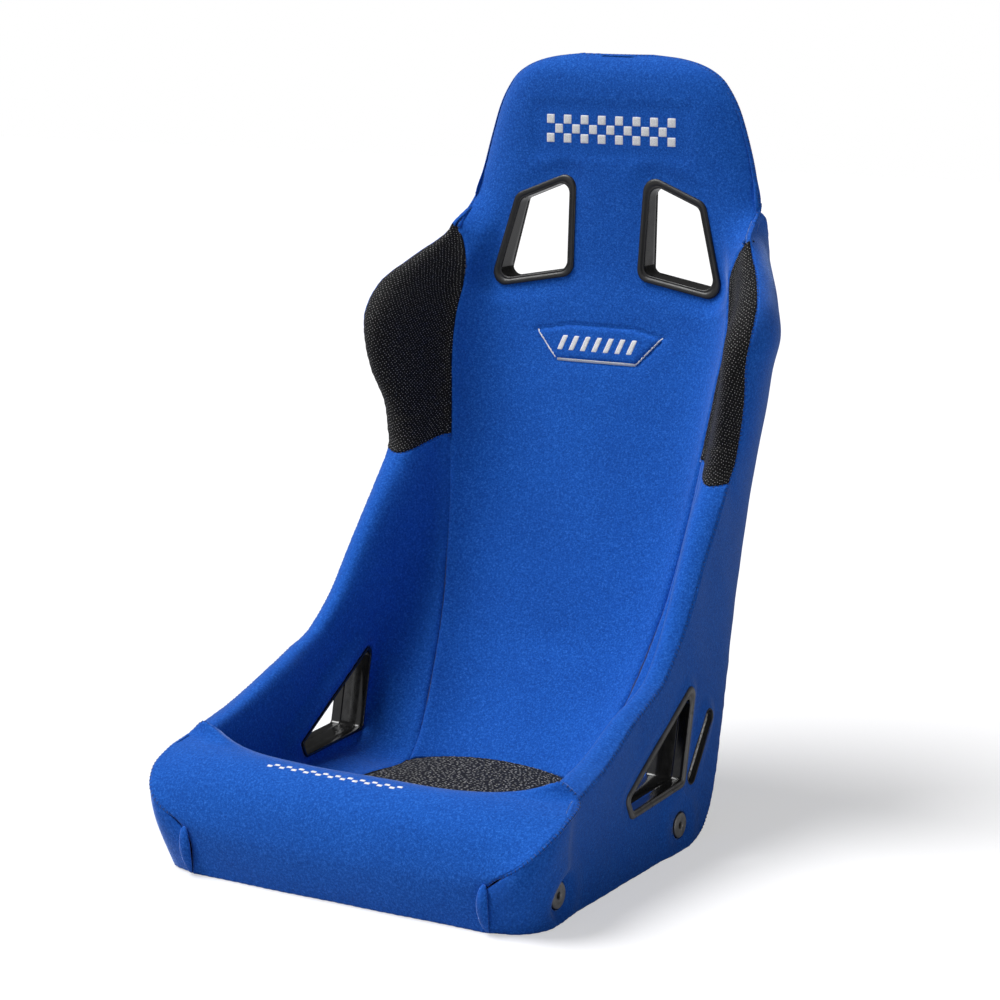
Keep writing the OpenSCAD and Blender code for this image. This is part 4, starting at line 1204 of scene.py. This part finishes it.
def make_embroidery():
    """Plain satin-stitched marks: a chequer of three rows on the head, slanted bars over a line in the badge, and a
    chequer of two thin rows on the roll."""
    front, roll = Cloth(FRONT_COVER), Cloth(ROLL_COVER)

    def on_front(corners, *stitch):
        return satin(front, [[x, BEFORE_FRONT, z] for x, z in corners], AHEAD, *stitch)

    checks = [on_front(field(-91 + c * (CELL + 0.4), 800 + r * CELL, CELL, CELL))
              for r in range(3) for c in range(15) if (r + c) % 2 == 0]
    piece("head_mark", *gather(checks), WHITE_THREAD, "blue_fabric")
    bars = [on_front([(x - 7.4, 543), (x + 0.6, 543), (x + 7.4, 562), (x - 0.6, 562)], 0.8, 10, 9)
            for x in np.linspace(-49, 49, 7)]
    bars += [on_front(band(start, end, wide), 1.3, 44, 9)
             for start, end, wide in zip(BADGE_LINE, BADGE_LINE[1:], BADGE_LINE_W)]
    piece("badge_mark", *gather(bars), WHITE_THREAD, "blue_fabric")
    dashes = [satin(roll, [[x, y, ABOVE_ROLL] for x, y in field(-114 + c * 8.2, -338 + r * 4.0, 8, 4.2)], DOWN,
                    0.7, 6, 7)
              for c in range(22) for r in range(2) if (r + c) % 2 == 0]
    piece("roll_mark", *gather(dashes), WHITE_THREAD, "blue_fabric")


make_embroidery()

# ---------------------------------------------------------------- the frame and its straps, inside the covers

FINISHES = {
    PAINT: ("frame_hoop", "side_rail_left", "side_rail_right", "front_cross_tube", "rear_cross_tube",
            "lumbar_cross_tube", "shoulder_cross_tube", "side_plate_left", "side_plate_right"),
    WEBBING: ("back_straps", "seat_straps"),
    ZINC: ("strap_hooks",),
}
for finish, names in FINISHES.items():
    for name in names:
        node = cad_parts[name]
        node.data.materials.clear()
        node.data.materials.append(finish)

# ---------------------------------------------------------------- light, floor, background


def add_sun(name, towards, strength, spread):
    """A far, wide, white light that shines along towards."""
    data = bpy.data.lights.new(name, "SUN")
    data.energy, data.angle = strength, math.radians(spread)
    o = bpy.data.objects.new(name, data)
    o.matrix_world = (-Vector(towards)).to_track_quat("Z", "Y").to_matrix().to_4x4()
    bpy.context.scene.collection.objects.link(o)


# The sky's strength as a light and as the background, and the floor's own glow where it is seen.
SKY_LIGHT = 0.06
SKY_SEEN = 1.0
FLOOR_GLOW = 0.52
FLOOR_HALF = 9


def add_stage():
    """A pale floor at z = 0 and a plain white sky."""
    mesh = bpy.data.meshes.new("floor")
    corners = [(x * FLOOR_HALF, y * FLOOR_HALF, 0) for x, y in ((-1, -1), (1, -1), (1, 1), (-1, 1))]
    mesh.from_pydata(corners, [], [(0, 1, 2, 3)])
    f = Finish("pale_floor")
    seen = f.node("ShaderNodeLightPath").outputs["Is Camera Ray"]
    f.set(Base_Color=(0.5, 0.5, 0.51, 1), Roughness=0.9, Emission_Color=(1, 1, 1, 1),
          Emission_Strength=f.sum(seen, FLOOR_GLOW, "MULTIPLY"))
    mesh.materials.append(f.material)
    floor = bpy.data.objects.new("floor", mesh)
    bpy.context.scene.collection.objects.link(floor)
    world = bpy.data.worlds.new("studio")
    world.use_nodes = True
    tree = world.node_tree
    sky = tree.nodes["Background"]
    sky.inputs["Color"].default_value = (1, 1, 1, 1)
    seen = tree.nodes.new("ShaderNodeLightPath").outputs["Is Camera Ray"]
    blend = tree.nodes.new("ShaderNodeMapRange")
    blend.inputs["To Min"].default_value, blend.inputs["To Max"].default_value = SKY_LIGHT, SKY_SEEN
    tree.links.new(seen, blend.inputs["Value"])
    tree.links.new(blend.outputs["Result"], sky.inputs["Strength"])
    bpy.context.scene.world = world
    bpy.context.scene.view_settings.view_transform = "Standard"


add_stage()
add_sun("key", (0.52, 0.26, -1.0), 3.7, 34)
add_sun("fill", (-1.0, 0.10, -0.08), 0.60, 24)
add_sun("front", (0.35, 0.9, -0.45), 0.46, 60)
